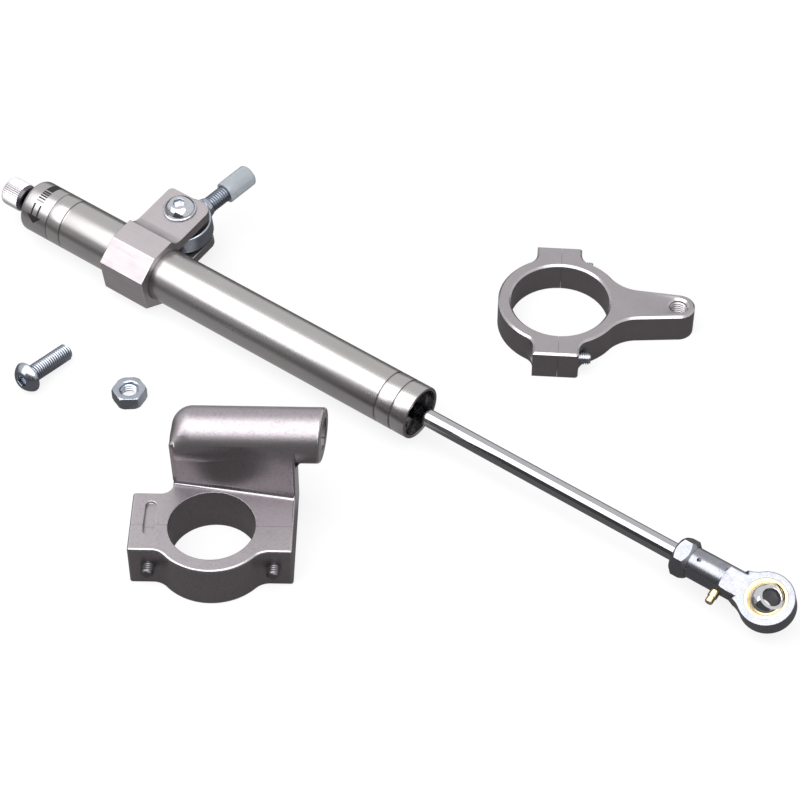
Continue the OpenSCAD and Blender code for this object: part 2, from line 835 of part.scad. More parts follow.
module grease_nipple() {
    collar = nipple_len * 0.5;
    color(brass) rod_end_frame() translate([nipple_x, -nipple_seat - fit, 0]) rotate([90, 0, 0])
        rotate_extrude() {
            bar(nipple_r * 0.7, -nipple_stem, 0.01, 0.3, 0);
            bar(nipple_r, 0, collar, 0, 0.3);
            polygon([[0, collar - 0.01], [nipple_r * 0.62, collar - 0.01], [nipple_r * 0.62, collar + 0.8],
                     [nipple_r * 0.86, collar + 1.5], [nipple_r * 0.86, nipple_len - 0.7],
                     [nipple_r * 0.45, nipple_len], [0, nipple_len]]);
        }
}

// Body clamp with its two ears

// Upper half of the clamp's side view, from the front flat round to the tip of the ear
module clamp_half_profile() {
    difference() {
        polygon([[-clamp_front, 0], [ear_end, 0], [ear_end, ear_out],
                 [clamp_top_back + cove_run, ear_out], [clamp_top_back, clamp_half],
                 [-clamp_slope, clamp_half], [-clamp_front, clamp_front_half]]);
        translate([clamp_top_back + cove_run, ear_out + cove_r]) circle(cove_r);
    }
}

// Plan outline of the clamp: square at the block, with the ears' far corners rounded
module clamp_plan() {
    half = clamp_w / 2;
    union() {
        translate([-half, -clamp_front - over]) square([clamp_w, clamp_front + over + ear_end - ear_corner_right]);
        translate([-half, 0]) square([clamp_w - ear_corner_right, ear_end - ear_corner_left]);
        translate([-half + ear_corner_left, 0])
            square([clamp_w - ear_corner_left - ear_corner_right, ear_end]);
        translate([-half + ear_corner_left, ear_end - ear_corner_left]) circle(ear_corner_left);
        translate([half - ear_corner_right, ear_end - ear_corner_right]) circle(ear_corner_right);
    }
}

module body_clamp() {
    color(satin) clamp_frame() difference() {
        intersection() {
            translate([-clamp_w / 2, 0, 0]) rotate([90, 0, 90]) linear_extrude(clamp_w) {
                clamp_half_profile();
                mirror([0, 1]) clamp_half_profile();
            }
            linear_extrude(3 * clamp_half, center = true) clamp_plan();
        }
        rotate([0, 90, 0]) cylinder(d = tube_od + 2 * fit, h = clamp_w + 2 * over, center = true);
        translate([-clamp_w, 0, -ear_gap / 2]) cube([2 * clamp_w, ear_end + over, ear_gap]);
        translate([0, pivot_y, 0]) cylinder(d = m8_d + 2 * side_gap, h = clamp_half);
        translate([0, pivot_y, -clamp_half]) cylinder(d = m8_d + 2 * fit, h = clamp_half);
    }
}

module pivot_screw() {
    color(chrome) clamp_frame() translate([0, pivot_y, ear_out]) mirror([0, 0, 1]) {
        button_screw(m8_len, flange_d - 2 * flange_step, button_flange_t + flange_rim);
        rotate_extrude() bar(flange_d / 2, -button_flange_t, 0, flange_edge, flange_edge);
    }
}

// Two thin washers that take up the play between the ball and the ears
module pivot_washers() {
    t = (ear_gap - stud_ball_w) / 2 - 2 * fit;
    color(zinc) clamp_frame() for (side = [0, 1]) mirror([0, 0, side])
        translate([0, pivot_y, ear_gap / 2 - fit - t]) difference() {
            cylinder(d = m8_d + 4.4, h = t);
            translate([0, 0, -over]) cylinder(d = m8_d + 2 * fit, h = t + 2 * over);
        }
}

// Stud rod end

module stud_ball() {
    color(chrome) stud_frame() bearing_ball(stud_ball_d, stud_ball_w, m8_d + 2 * running);
}

module stud_race() {
    color(brass) stud_frame() bearing_race(stud_ball_d, stud_race_od, stud_eye_thick, 0.4);
}

module stud_rod_end() {
    rim = stud_eye_od / 2;
    color(zinc) stud_frame() difference() {
        union() {
            rotate_extrude() bar(rim, -stud_eye_thick / 2, stud_eye_thick / 2, 0.5, 0.5);
            rotate([-90, 0, 0]) rotate_extrude() {
                polygon([[0, 0], [stud_root_r, 0], [stud_root_r, rim - 1], [stud_d / 2, rim + stud_neck],
                         [0, rim + stud_neck]]);
                bar(stud_d / 2, rim, rim + stud_len, 0, m8_tip);
            }
        }
        for (side = [0, 1]) mirror([0, 0, side])
            translate([0, 0, stud_eye_thick / 2]) cylinder(r = rim - 0.2, h = stud_root_r);
        cylinder(d = stud_race_od + 2 * fit, h = stud_eye_thick + over, center = true);
    }
}

// Plastic sleeve that protects the stud's thread
module thread_protector() {
    rim = stud_eye_od / 2;
    x0 = rim + sleeve_start;
    x1 = rim + stud_len + sleeve_end_wall;
    color(vinyl) stud_frame() rotate([-90, 0, 0]) rotate_extrude() difference() {
        union() {
            bar(sleeve_od / 2, x0, x1 - 0.9, 0.2, 0);
            bar(sleeve_od / 2, x1 - 1.8, x1, 0, 0.9);
        }
        translate([0, x0 - over]) square([stud_d / 2 + running, rim + stud_len + running - x0 + over]);
    }
}

// Fork clamp

// Outline of the ring with its lugs and arm; the halves are cut from it
module fork_outline() {
    R = fork_ring_od / 2;
    edge = fork_tip_r + fork_reach * sin(fork_taper);
    root = edge / cos(fork_taper);
    end = [fork_reach, 0] + (fork_tip_r - sunk) * [sin(fork_taper), cos(fork_taper)];
    circle(R);
    translate([-fork_lug_cap, -fork_lug_reach])
        square([fork_lug_cap + fork_lug_arm - 1.5, 2 * fork_lug_reach]);
    for (side = [0, 1]) mirror([0, side]) {
        translate([0, 0]) square([fork_lug_arm, fork_lug_reach - 1.5]);
        translate([fork_lug_arm - 1.5, fork_lug_reach - 1.5]) circle(1.5);
        rotate(90) corner_fill(R, fork_lug_cap, fork_lug_fillet);
        rotate(90) mirror([0, 1]) corner_fill(R, fork_lug_arm, fork_lug_fillet);
        rotate(-fork_taper) corner_fill(R - sunk, edge - sunk, fork_arm_fillet);
    }
    polygon([[0, -root], [end[0], -end[1]], end, [0, root]]);
    translate([fork_reach, 0]) circle(fork_tip_r);
}

module fork_solid() {
    difference() {
        linear_extrude(fork_t) fork_outline();
        translate([0, 0, -over]) cylinder(d = fork_bore, h = fork_t + 2 * over);
    }
}

// Everything on the arm's side of the split, drawn as a cutting block
module beyond_split(gap, reach, height) {
    translate([gap / 2, -reach, -over]) cube([2 * reach, 2 * reach, height + 2 * over]);
}

module fork_clamp_arm() {
    color(machined) fork_frame() difference() {
        intersection() {
            fork_solid();
            beyond_split(split_gap, fork_reach, fork_t);
        }
        translate([fork_reach, 0, -over]) cylinder(r = fork_hole_r, h = fork_t + 2 * over);
        for (z = [0, fork_t]) translate([fork_reach, 0, z]) rotate([z > 0 ? 180 : 0, 0, 0])
            translate([0, 0, -over]) cylinder(r1 = fork_hole_r + countersink + over,
                                               r2 = fork_hole_r, h = countersink + over);
        for (side = [-1, 1]) translate([0, side * fork_screw_at, fork_t / 2]) rotate([0, 90, 0])
            cylinder(d = m6_d + 2 * fit, h = fork_reach / 2);
    }
}

module fork_clamp_cap() {
    color(machined) fork_frame() difference() {
        intersection() {
            fork_solid();
            mirror([1, 0, 0]) beyond_split(split_gap, fork_reach, fork_t);
        }
        for (side = [-1, 1]) translate([0, side * fork_screw_at, fork_t / 2]) rotate([0, -90, 0]) {
            cylinder(d = m6_d + 2 * side_gap, h = fork_reach);
            translate([0, 0, fork_seat]) cylinder(d = m6_head_d + 2 * side_gap, h = fork_reach);
        }
    }
}

module fork_clamp_screws() {
    color(steel) fork_frame() for (side = [-1, 1])
        translate([-fork_seat - fit, side * fork_screw_at, fork_t / 2]) rotate([0, 90, 0])
            cap_screw(m6_d, m6_head_d, m6_head_h, fork_screw_len, 5);
}

// Frame bracket

// Outline of the clamp part; web_side is the part behind the split
module bracket_outline() {
    circle(bracket_ring_r);
    translate([-bracket_half, -bracket_front]) square([2 * bracket_half, bracket_front + bracket_back]);
    translate([-web_left, 0]) square([web_left + bracket_half, web_back]);
    for (side = [0, 1]) mirror([side, 0]) mirror([0, 1])
        corner_fill(bracket_ring_r, bracket_front, bracket_fillet);
    translate([-web_left, bracket_back]) difference() {
        translate([-web_corner, -over]) square([web_corner + over, web_corner + over]);
        translate([-web_corner, web_corner]) circle(web_corner);
    }
}

module bracket_holes(screw_d, seat) {
    translate([0, 0, -over]) cylinder(d = bracket_bore, h = bracket_h + 2 * over);
    for (side = [-1, 1]) translate([side * bracket_screw_at, 0, bracket_h / 2]) rotate([90, 0, 0]) {
        cylinder(d = screw_d, h = 4 * bracket_back, center = true);
        translate([0, 0, -seat - web_back]) cylinder(d = m6_head_d + 2 * side_gap, h = web_back);
    }
}

module slot_cut() {
    translate([-bracket_screw_at, slot_mid, bracket_h - slot_depth]) linear_extrude(slot_depth + over) {
        square([slot_w, slot_len - slot_w], center = true);
        for (end = [-1, 1]) translate([0, end * (slot_len - slot_w) / 2]) circle(d = slot_w);
    }
}

// Side view of the web, its front leaning back to meet the boss
module web_side() {
    r = boss_od / 2;
    front = web_front - web_skew - over;
    meet = [boss_y - r * cos(web_blend), boss_z + r * sin(web_blend)];
    polygon([[front, -over], [web_back + over, -over], [web_back + over, boss_z], [boss_y, boss_z],
             meet, [front, meet[1] - (meet[0] - front) / tan(web_blend)]]);
}

// Upright web between the clamp part and the boss
module web() {
    span = web_left + bracket_half;
    intersection() {
        translate([-web_left, 0, 0]) rotate([90, 0, 90]) linear_extrude(span) web_side();
        translate([0, 0, bracket_h / 2]) linear_extrude(boss_z)
            polygon([[-web_left, web_front], [bracket_half, web_front - web_skew],
                     [bracket_half, web_back], [-web_left, web_back]]);
    }
}

// Curved rib between the web's right side and the overhanging end of the boss
module web_gusset() {
    r = boss_od / 2;
    top = boss_z - r * 0.56;
    depth = web_back - boss_y + r * 0.8;
    translate([bracket_half, web_back, top - gusset_r]) rotate([90, 0, 0])
        linear_extrude(depth) difference() {
            translate([-over, 0]) square([gusset_r + over, gusset_r]);
            translate([gusset_r, 0]) circle(gusset_r - 0.01);
        }
}

// Cylindrical boss with a rounded closed end
module boss() {
    r = boss_od / 2;
    left = -web_left + 0.2;
    right = boss_right + r * tan(boss_face) + over;
    translate([0, boss_y, boss_z]) rotate([0, 90, 0]) rotate_extrude() {
        translate([0, left + boss_round]) square([r, right - left - boss_round]);
        translate([0, left]) square([r - boss_round, boss_round + 0.01]);
        intersection() {
            translate([r - boss_round, left + boss_round]) circle(boss_round);
            translate([r - boss_round - 0.01, left]) square([boss_round + 0.01, boss_round + 0.01]);
        }
    }
}

module bracket_body() {
    color(cast_grey) bracket_frame() difference() {
        union() {
            intersection() {
                linear_extrude(bracket_h) bracket_outline();
                rotate([0, 0, 90]) beyond_split(split_gap, 3 * bracket_half, bracket_h);
            }
            web();
            web_gusset();
            boss();
        }
        bracket_holes(m6_d + 2 * side_gap, bracket_seat);
        slot_cut();
        translate([boss_right, boss_y, boss_z]) rotate([0, 0, -boss_face])
            translate([0, -boss_od, -boss_od]) cube([boss_od, 2 * boss_od, 2 * boss_od]);
        translate([boss_right + over, boss_y, boss_z]) rotate([0, -90, 0]) {
            cylinder(r = m8_d / 2, h = boss_thread_depth + over);
            cylinder(r1 = m8_d / 2 + mouth_bevel + over, r2 = m8_d / 2, h = mouth_bevel + over);
        }
    }
}

module bracket_cap() {
    color(cast_grey) bracket_frame() difference() {
        intersection() {
            linear_extrude(bracket_h) bracket_outline();
            rotate([0, 0, -90]) beyond_split(split_gap, 3 * bracket_half, bracket_h);
        }
        bracket_holes(m6_d + 2 * fit, bracket_seat);
        slot_cut();
    }
}

module bracket_screws() {
    color(steel) bracket_frame() for (side = [-1, 1])
        translate([side * bracket_screw_at, bracket_seat + fit, bracket_h / 2]) rotate([90, 0, 0])
            cap_screw(m6_d, m6_head_d, m6_head_h, bracket_screw_len, 5);
}

// Loose fasteners that lie beside the damper

module loose_screw() {
    color(zinc) translate([-screw_back, -screw_side, floor_z + lean_rise])
        rotate([0, 0, screw_heading]) rotate([0, 90 + lean, 0])
            button_screw(m8_len, button_d, button_rim);
}

module loose_nut() {
    color(zinc) translate([-nut_back, -nut_side, floor_z]) rotate([0, 0, nut_heading]) difference() {
        hex_bar(nut_af, nut_h, 0.9, 0.9);
        translate([0, 0, -over]) cylinder(d = m8_d, h = nut_h + 2 * over);
        for (side = [0, 1]) translate([0, 0, side * nut_h]) mirror([0, 0, side])
            translate([0, 0, -over]) cylinder(r1 = m8_d / 2 + nut_bevel + over, r2 = m8_d / 2,
                                              h = nut_bevel + over);
    }
}

outer_tube();
end_cap();
end_cap_oring();
adjuster_knob();
knob_screw();
adjuster_spindle();
spindle_oring();
spindle_clip();
adjuster_needle();
valve_block();
inner_tube();
head_gland();
gland_oring();
guide_bush();
rod_seal();
rod_wiper();
snap_ring();
piston_rod();
piston();
piston_ring();
valve_shims();
piston_nut();
rebound_bumper();
rod_end_body();
rod_end_race();
rod_end_ball();
grease_nipple();
body_clamp();
pivot_screw();
pivot_washers();
stud_ball();
stud_race();
stud_rod_end();
thread_protector();
fork_clamp_arm();
fork_clamp_cap();
fork_clamp_screws();
bracket_body();
bracket_cap();
bracket_screws();
loose_screw();
loose_nut();
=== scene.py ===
"""Motorcycle steering damper and its mounting kit: finishes, threads, small details and studio.

Lengths are in millimetres until a mesh is finished. The origin is the centre of the rod end's ball,
and the damper lies along X, as in the CAD model.
"""

import logging
import math
from dataclasses import dataclass
from enum import Enum
from typing import Callable, Iterable, Optional, Sequence, Union

import bmesh
import bpy
from bmesh.types import BMEdge, BMesh, BMVert
from bpy.types import ID, Material, Node, NodeSocket, NodeTree, Object
from mathutils import Matrix, Vector


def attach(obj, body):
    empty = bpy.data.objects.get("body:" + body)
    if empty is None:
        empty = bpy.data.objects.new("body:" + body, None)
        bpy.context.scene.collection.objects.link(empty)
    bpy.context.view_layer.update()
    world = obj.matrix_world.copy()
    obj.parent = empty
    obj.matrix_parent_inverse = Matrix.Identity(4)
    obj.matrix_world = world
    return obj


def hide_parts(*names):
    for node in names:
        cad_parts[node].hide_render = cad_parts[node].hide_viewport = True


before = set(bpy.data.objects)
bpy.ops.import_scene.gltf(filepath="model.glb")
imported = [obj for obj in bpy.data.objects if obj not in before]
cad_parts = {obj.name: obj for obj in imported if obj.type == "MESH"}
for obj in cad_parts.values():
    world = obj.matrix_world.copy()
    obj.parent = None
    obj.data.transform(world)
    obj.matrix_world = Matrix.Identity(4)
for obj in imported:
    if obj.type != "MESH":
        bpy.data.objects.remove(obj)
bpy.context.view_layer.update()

log = logging.getLogger("damper_kit")

MM = 0.001
FLOOR_Z = -16.2916
EYE_X = 405.2
KIT = "damper_tube_and_kit"

# Places closer than this lie on the same plane
SAME = 0.02

# A noise texture's values mostly lie between these two
NOISE_SPAN = {"From Min": 0.3, "From Max": 0.7}


# Finishes


def linear(code: str) -> tuple[float, float, float, float]:
    """Linear colour of an sRGB hex code.

    Args:
        code: Six hex digits, as "c8c4bf".

    Returns:
        Red, green, blue and alpha for a shader socket.
    """
    parts = [int(code[i:i + 2], 16) / 255 for i in (0, 2, 4)]
    bright = [c / 12.92 if c <= 0.04045 else ((c + 0.055) / 1.055) ** 2.4 for c in parts]
    return (bright[0], bright[1], bright[2], 1.0)


def add_node(tree: NodeTree, kind: str, settings: Optional[dict] = None,
             links: Optional[dict] = None) -> Node:
    """Adds one node to a tree.

    Args:
        tree: The tree that gets the node.
        kind: Blender's name for the type of node.
        settings: Values by name or index, for the node's own properties or its inputs.
        links: Output sockets by name or index of the input that they feed.

    Returns:
        The new node.
    """
    node = tree.nodes.new(kind)
    for name, value in (settings or {}).items():
        if isinstance(name, str) and name.islower() and hasattr(node, name):
            setattr(node, name, value)
        else:
            node.inputs[name].default_value = value
    for name, socket in (links or {}).items():
        tree.links.new(socket, node.inputs[name])
    return node


def new_material(title: str) -> tuple[Material, NodeTree]:
    """Makes an empty node material.

    Args:
        title: The real material and how its surface was made.

    Returns:
        The material and its node tree.
    """
    material = bpy.data.materials.new(title)
    material.use_nodes = True
    material.node_tree.nodes.clear()
    return material, material.node_tree


def surface(tree: NodeTree, tones: tuple[str, str], share: NodeSocket, rough: NodeSocket,
            height: NodeSocket, depth: float, values: dict) -> None:
    """Joins tone, gloss and relief into a shader, and the shader to the material's output.

    Args:
        tree: The material's tree.
        tones: Hex codes of the dark tone and the light one.
        share: Share of the light tone.
        rough: Roughness.
        height: Height of the relief, from 0 to 1.
        depth: Depth of the relief in millimetres.
        values: The shader's other values by name.
    """
    tone = add_node(tree, "ShaderNodeMix",
                    {"data_type": "RGBA", 6: linear(tones[0]), 7: linear(tones[1])}, {0: share})
    bump = add_node(tree, "ShaderNodeBump", {"Strength": 1.0, "Distance": depth * MM},
                    {"Height": height})
    shader = add_node(tree, "ShaderNodeBsdfPrincipled", values,
                      {"Base Color": tone.outputs[2], "Roughness": rough,
                       "Normal": bump.outputs["Normal"]})
    add_node(tree, "ShaderNodeOutputMaterial", links={"Surface": shader.outputs["BSDF"]})


class Lay(Enum):
    """How the tool left its marks on a surface."""

    TURNED = "fine rings round an axis"
    BRUSHED = "fine lines along an axis"
    MILLED = "straight cutter passes, with faint arcs between them"
    BLASTED = "grains of shot, the same in every direction"
    TUMBLED = "small dings and soft clouds from the tumbling barrel"
    POLISHED = "a mirror with a faint haze"


@dataclass(frozen=True)
class Metal:
    """A metal surface: its two tones, its gloss and the marks of its making."""

    title: str
    light: str
    dark: str
    rough_low: float
    rough_high: float
    lay: Lay
    mark: float
    depth: float
    axis: tuple[float, float, float] = (1.0, 0.0, 0.0)
    cloud: float = 12.0
    cloud_share: float = 0.35

    def coordinates(self, tree: NodeTree, size: tuple[float, float, float]) -> NodeSocket:
        """Object coordinates, turned to the lay's axis and divided by a size.

        Args:
            tree: The material's tree.
            size: Millimetres for one unit of the pattern, along the axis and across it.

        Returns:
            The vector socket for a texture.
        """
        place = add_node(tree, "ShaderNodeTexCoord")
        turn = Vector((1, 0, 0)).rotation_difference(Vector(self.axis)).to_euler()
        mapping = add_node(tree, "ShaderNodeMapping",
                           {"vector_type": "TEXTURE", "Rotation": turn,
                            "Scale": [s * MM for s in size]},
                           {"Vector": place.outputs["Object"]})
        return mapping.outputs["Vector"]

    def marks(self, tree: NodeTree) -> NodeSocket:
        """Height of the tool marks.

        Args:
            tree: The material's tree.

        Returns:
            A socket from 0 to 1.
        """
        m = self.mark
        if self.lay is Lay.TURNED:
            # Rings: the noise changes fast along the axis and slowly round it
            size, detail = (m, 60.0, 60.0), 4.0
        elif self.lay is Lay.BRUSHED:
            size, detail = (60.0, m, m), 4.0
        elif self.lay is Lay.MILLED:
            size, detail = (22.0, m, m), 3.0
        elif self.lay is Lay.POLISHED:
            size, detail = (m * 8, m, m), 2.0
        else:
            size, detail = (m, m, m), 6.0
        noise = add_node(tree, "ShaderNodeTexNoise",
                         {"Scale": 1.0, "Detail": detail, "Roughness": 0.62},
                         {"Vector": self.coordinates(tree, size)})
        if self.lay is not Lay.BLASTED:
            return noise.outputs["Fac"]
        # Each grain of shot leaves a round dimple, so cells are laid over the noise
        cells = add_node(tree, "ShaderNodeTexVoronoi", {"feature": "SMOOTH_F1", "Scale": 1.0},
                         {"Vector": self.coordinates(tree, (m * 1.4, m * 1.4, m * 1.4))})
        return add_node(tree, "ShaderNodeMath", {"operation": "MULTIPLY_ADD", 1: 0.6},
                        {0: cells.outputs["Distance"], 2: noise.outputs["Fac"]}).outputs[0]

    def build(self) -> Material:
        """Makes the node material.

        Returns:
            The finished material.
        """
        material, tree = new_material(self.title)
        marks = self.marks(tree)
        cloud = add_node(tree, "ShaderNodeTexNoise",
                         {"Scale": 1.0, "Detail": 3.0, "Roughness": 0.5},
                         {"Vector": self.coordinates(tree, (self.cloud,) * 3)}).outputs["Fac"]
        both = add_node(tree, "ShaderNodeMix", {"data_type": "FLOAT", 0: self.cloud_share},
                        {2: marks, 3: cloud}).outputs[0]
        spread = add_node(tree, "ShaderNodeMapRange", NOISE_SPAN, {"Value": both}).outputs[0]
        rough = add_node(tree, "ShaderNodeMapRange",
                         {**NOISE_SPAN, "To Min": self.rough_high, "To Max": self.rough_low},
                         {"Value": both}).outputs[0]
        surface(tree, (self.dark, self.light), spread, rough, marks, self.depth,
                {"Metallic": 1.0})
        return material


@dataclass(frozen=True)
class Moulded:
    """Rubber, plastic or ink: a tone with soft clouds, a fine grain, and some light let through."""

    title: str
    light: str
    dark: str
    rough: float
    grain: float
    depth: float
    clear: float = 0.0

    def build(self) -> Material:
        """Makes the node material.

        Returns:
            The finished material.
        """
        material, tree = new_material(self.title)
        place = add_node(tree, "ShaderNodeTexCoord").outputs["Object"]
        grain = add_node(tree, "ShaderNodeTexNoise",
                         {"Scale": 1 / (self.grain * MM), "Detail": 4.0, "Roughness": 0.6},
                         {"Vector": place}).outputs["Fac"]
        rough = add_node(tree, "ShaderNodeMapRange",
                         {**NOISE_SPAN, "To Min": self.rough * 0.8, "To Max": self.rough * 1.2},
                         {"Value": grain}).outputs[0]
        surface(tree, (self.dark, self.light), grain, rough, grain, self.depth,
                {"Transmission Weight": self.clear, "IOR": 1.5})
        return material


FORK_AXIS = (math.cos(math.radians(32.8)), math.sin(math.radians(32.8)), 0.0)
BRACKET_AXIS = (math.cos(math.radians(35.6)), math.sin(math.radians(35.6)), 0.0)

FINISHES: dict[str, Union[Metal, Moulded]] = {
    # Drawn tube, brushed in the lathe and anodised: a soft sheen that is crossed by fine rings.
    # Real rings are 0.1 mm apart, which is too fine to show, so they are drawn at 0.7 mm.
    "anodised_tube": Metal("aluminium tube, brushed and champagne anodised", "b3b0b0", "a6a3a3",
                           0.24, 0.31, Lay.TURNED, 0.7, 0.0015, cloud=40.0,
                           cloud_share=0.75),
    # Bar turned and clear anodised: like the tube, a little whiter
    "anodised_cap": Metal("aluminium cap, turned and clear anodised", "b3b0b1", "a6a3a4",
                          0.24, 0.33, Lay.TURNED, 0.6, 0.004, cloud=25.0),
    # Knurled and clear anodised: bright ridges
    "turned_knob": Metal("aluminium knob, knurled and clear anodised", "e6e3e6", "d2cfd2",
                         0.34, 0.46, Lay.TURNED, 0.5, 0.003),
    # Milled from bar, then satin anodised: lavender grey with faint cutter lines
    "milled_clamp": Metal("aluminium clamp, milled and satin anodised", "b0aaad", "a29c9f",
                          0.36, 0.46, Lay.MILLED, 0.6, 0.004, cloud=9.0),
    # The knob's shoulder is drawn darker than its ridges, as painted shade of the flank beside the
    # neck
    "knob_shoulder": Metal("aluminium knob shoulder, turned, darkened as painted shade", "6e6c70", "49474b",
                           0.25, 0.38, Lay.TURNED, 0.4, 0.004),
    "machined": Metal("aluminium, turned bare", "c4c6c8", "9fa1a4",
                      0.22, 0.36, Lay.TURNED, 0.5, 0.005),
    # Milled plate that went through the tumbler: clouds and small dings
    "fork_clamp": Metal("aluminium plate, milled and tumbled", "aaa5a8", "9a9598",
                        0.30, 0.42, Lay.TUMBLED, 0.7, 0.010, FORK_AXIS, cloud=7.0),
    # Casting blasted with shot: dull grain without a direction
    "blasted_casting": Metal("aluminium casting, shot blasted", "a39da1", "8a8589",
                             0.38, 0.50, Lay.BLASTED, 0.8, 0.030, BRACKET_AXIS, cloud=6.0),
    # Edges rubbed bright on the deburring wheel. The same lighter tone on the hollow root of the
    # bracket's web is a painted highlight
    "rubbed_edge_and_sheen": Metal("aluminium edge, rubbed bright, with painted sheen", "bdb9bc", "a8a4a7",
                         0.20, 0.32, Lay.TUMBLED, 0.8, 0.006, cloud=5.0),
    # Ground, hard chromed and polished rod: a mirror
    "hard_chrome": Metal("steel rod, ground and hard chromed", "b9b8bc", "acabb0",
                         0.03, 0.07, Lay.TURNED, 0.8, 0.0004, cloud=30.0),
    "bearing_steel": Metal("bearing ball, lapped", "d2d3d8", "bfc0c6",
                           0.04, 0.08, Lay.POLISHED, 0.8, 0.0006),
    # Bright zinc plating with its bluish passivation: soft mottles over turned steel
    "zinc_plate": Metal("steel, bright zinc plated", "b9bec8", "9399a4",
                        0.16, 0.30, Lay.TUMBLED, 0.9, 0.006, cloud=4.0),
    # The rod end's own plating is duller and darker than the screws'
    "rod_end_zinc": Metal("steel rod end, forged and zinc plated", "9b9ca3", "82848b",
                          0.22, 0.34, Lay.TUMBLED, 0.9, 0.006, cloud=5.0),
    "bright_screw": Metal("screw steel, bright chromed", "cdcfd5", "b2b4bc",
                          0.07, 0.13, Lay.POLISHED, 0.7, 0.003),
    # Rolled screw steel, oiled: a dull grey gleam
    "plain_steel": Metal("screw steel, rolled and oiled", "8f8d90", "6f6d70",
                         0.24, 0.38, Lay.TUMBLED, 0.7, 0.006, cloud=4.0),
    # Turned steel, drawn nearly black, with a dull gleam
    "stainless": Metal("steel spindle, turned, nearly black", "3a383a", "201f21",
                       0.28, 0.40, Lay.TURNED, 0.4, 0.004),
    "spring_steel": Metal("spring steel, hardened and oiled", "565458", "343336",
                          0.25, 0.40, Lay.BRUSHED, 0.4, 0.004),
    # Turned brass: pale gold
    "brass": Metal("brass, turned", "ecdcb2", "d6c08e",
                   0.16, 0.28, Lay.TURNED, 0.5, 0.004),
    "bronze": Metal("bearing bronze, sintered", "a8835a", "86643f",
                    0.35, 0.5, Lay.BLASTED, 0.5, 0.01),
    "nitrile": Moulded("nitrile rubber, moulded", "262626", "141414", 0.45, 0.5, 0.01),
    "filled_ptfe": Moulded("bronze-filled PTFE, skived", "5a5148", "3d3832", 0.4, 0.4, 0.005),
    # Dip-moulded vinyl sleeve: grey-blue, lets some light through
    "vinyl": Moulded("vinyl sleeve, dip moulded", "c6ccd2", "adb5bd", 0.14, 2.5, 0.01, 0.4),
    # Screen-print ink, baked on: flat black with a slight grain
    "print_ink": Moulded("screen-print ink, baked", "141213", "080707", 0.7, 0.35, 0.004),
    "print_ink_thin": Moulded("screen-print ink, thin pass", "8b8689", "6f6a6d", 0.5, 0.35, 0.004),
}

MATERIALS: dict[str, Material] = {}


def finish(name: str) -> Material:
    """The material of a finish, made on its first use.

    Args:
        name: The finish's name in FINISHES.

    Returns:
        The node material.
    """
    if name not in MATERIALS:
        MATERIALS[name] = FINISHES[name].build()
    return MATERIALS[name]


# Places of the sub-assemblies, in millimetres


def turn(axis: str, degrees: float) -> Matrix:
    """Turn about X, Y or Z."""
    return Matrix.Rotation(math.radians(degrees), 4, axis)


def shift(x: float, y: float = 0.0, z: float = 0.0) -> Matrix:
    """Move by x, y and z."""
    return Matrix.Translation((x, y, z))


TUBE_PLACE = shift(-EYE_X)
ROD_END_PLACE = shift(-43.7) @ turn("X", 20)
CLAMP_PLACE = shift(67.6 - EYE_X) @ turn("X", 7)
STUD_PLACE = CLAMP_PLACE @ shift(0, 28, 0) @ turn("Z", -8)
FORK_PLACE = shift(-169.7, 97.1, FLOOR_Z) @ turn("Z", 32.8)
BRACKET_PLACE = shift(-207.3, -108.5, FLOOR_Z) @ turn("Z", 35.6)
NUT_PLACE = shift(-297.7, -58.9, FLOOR_Z) @ turn("Z", 40)
SCREW_LEAN = math.degrees(math.atan2(3.25, 24.1))
SCREW_PLACE = (shift(-338.4, -81.0, FLOOR_Z + 7.25 * math.cos(math.radians(SCREW_LEAN)))
               @ turn("Z", 88) @ turn("Y", 90 + SCREW_LEAN))


# Mesh making


def section(corners: Sequence[tuple[float, ...]], closed: bool) -> BMesh:
    """Draws a half section as a line of edges.

    Args:
        corners: Corners as place along X and radius.
        closed: Whether the last corner joins the first.

    Returns:
        A mesh of the edges alone.
    """
    bm = bmesh.new()
    verts = [bm.verts.new((corner[0], 0.0, corner[1])) for corner in corners]
    for first, second in zip(verts, verts[1:] + verts[:1] if closed else verts[1:]):
        bm.edges.new((first, second))
    return bm


def spin(bm: BMesh, steps: int, turns: int = 1, pitch: float = 0.0) -> None:
    """Spins a section about the X axis.

    Args:
        bm: The section.
        steps: Facets of one turn.
        turns: Number of turns.
        pitch: Travel along X in one turn; without any, the end is merged with the start.
    """
    bmesh.ops.spin(bm, geom=bm.verts[:] + bm.edges[:], cent=(0, 0, 0), axis=(1, 0, 0),
                   dvec=(pitch / steps, 0, 0), angle=math.tau * turns, steps=steps * turns,
                   use_merge=pitch == 0.0)


def lathe(profile: Sequence[tuple[float, ...]], closed: bool = False,
          steps: int = 144) -> BMesh:
    """Spins a half section about the X axis.

    Args:
        profile: Corners as place along X, radius and, if rounded, the rounding.
        closed: Whether the last corner joins the first, as for a ring with a bore.
        steps: Facets of a full turn.

    Returns:
        The turned mesh, closed and with its faces outwards.
    """
    bm = section(profile, closed)
    for corner, vert in zip(profile, bm.verts[:]):
        if len(corner) > 2:
            bmesh.ops.bevel(bm, geom=[vert], offset=corner[2], offset_type="OFFSET", segments=4,
                            profile=0.5, affect="VERTICES", material=-1)
    spin(bm, steps)
    bmesh.ops.remove_doubles(bm, verts=bm.verts, dist=0.0005)
    bmesh.ops.recalc_face_normals(bm, faces=bm.faces)
    return bm


def rims(bm: BMesh) -> list[BMEdge]:
    """Edges round the holes of a mesh."""
    return [e for e in bm.edges if e.is_boundary]


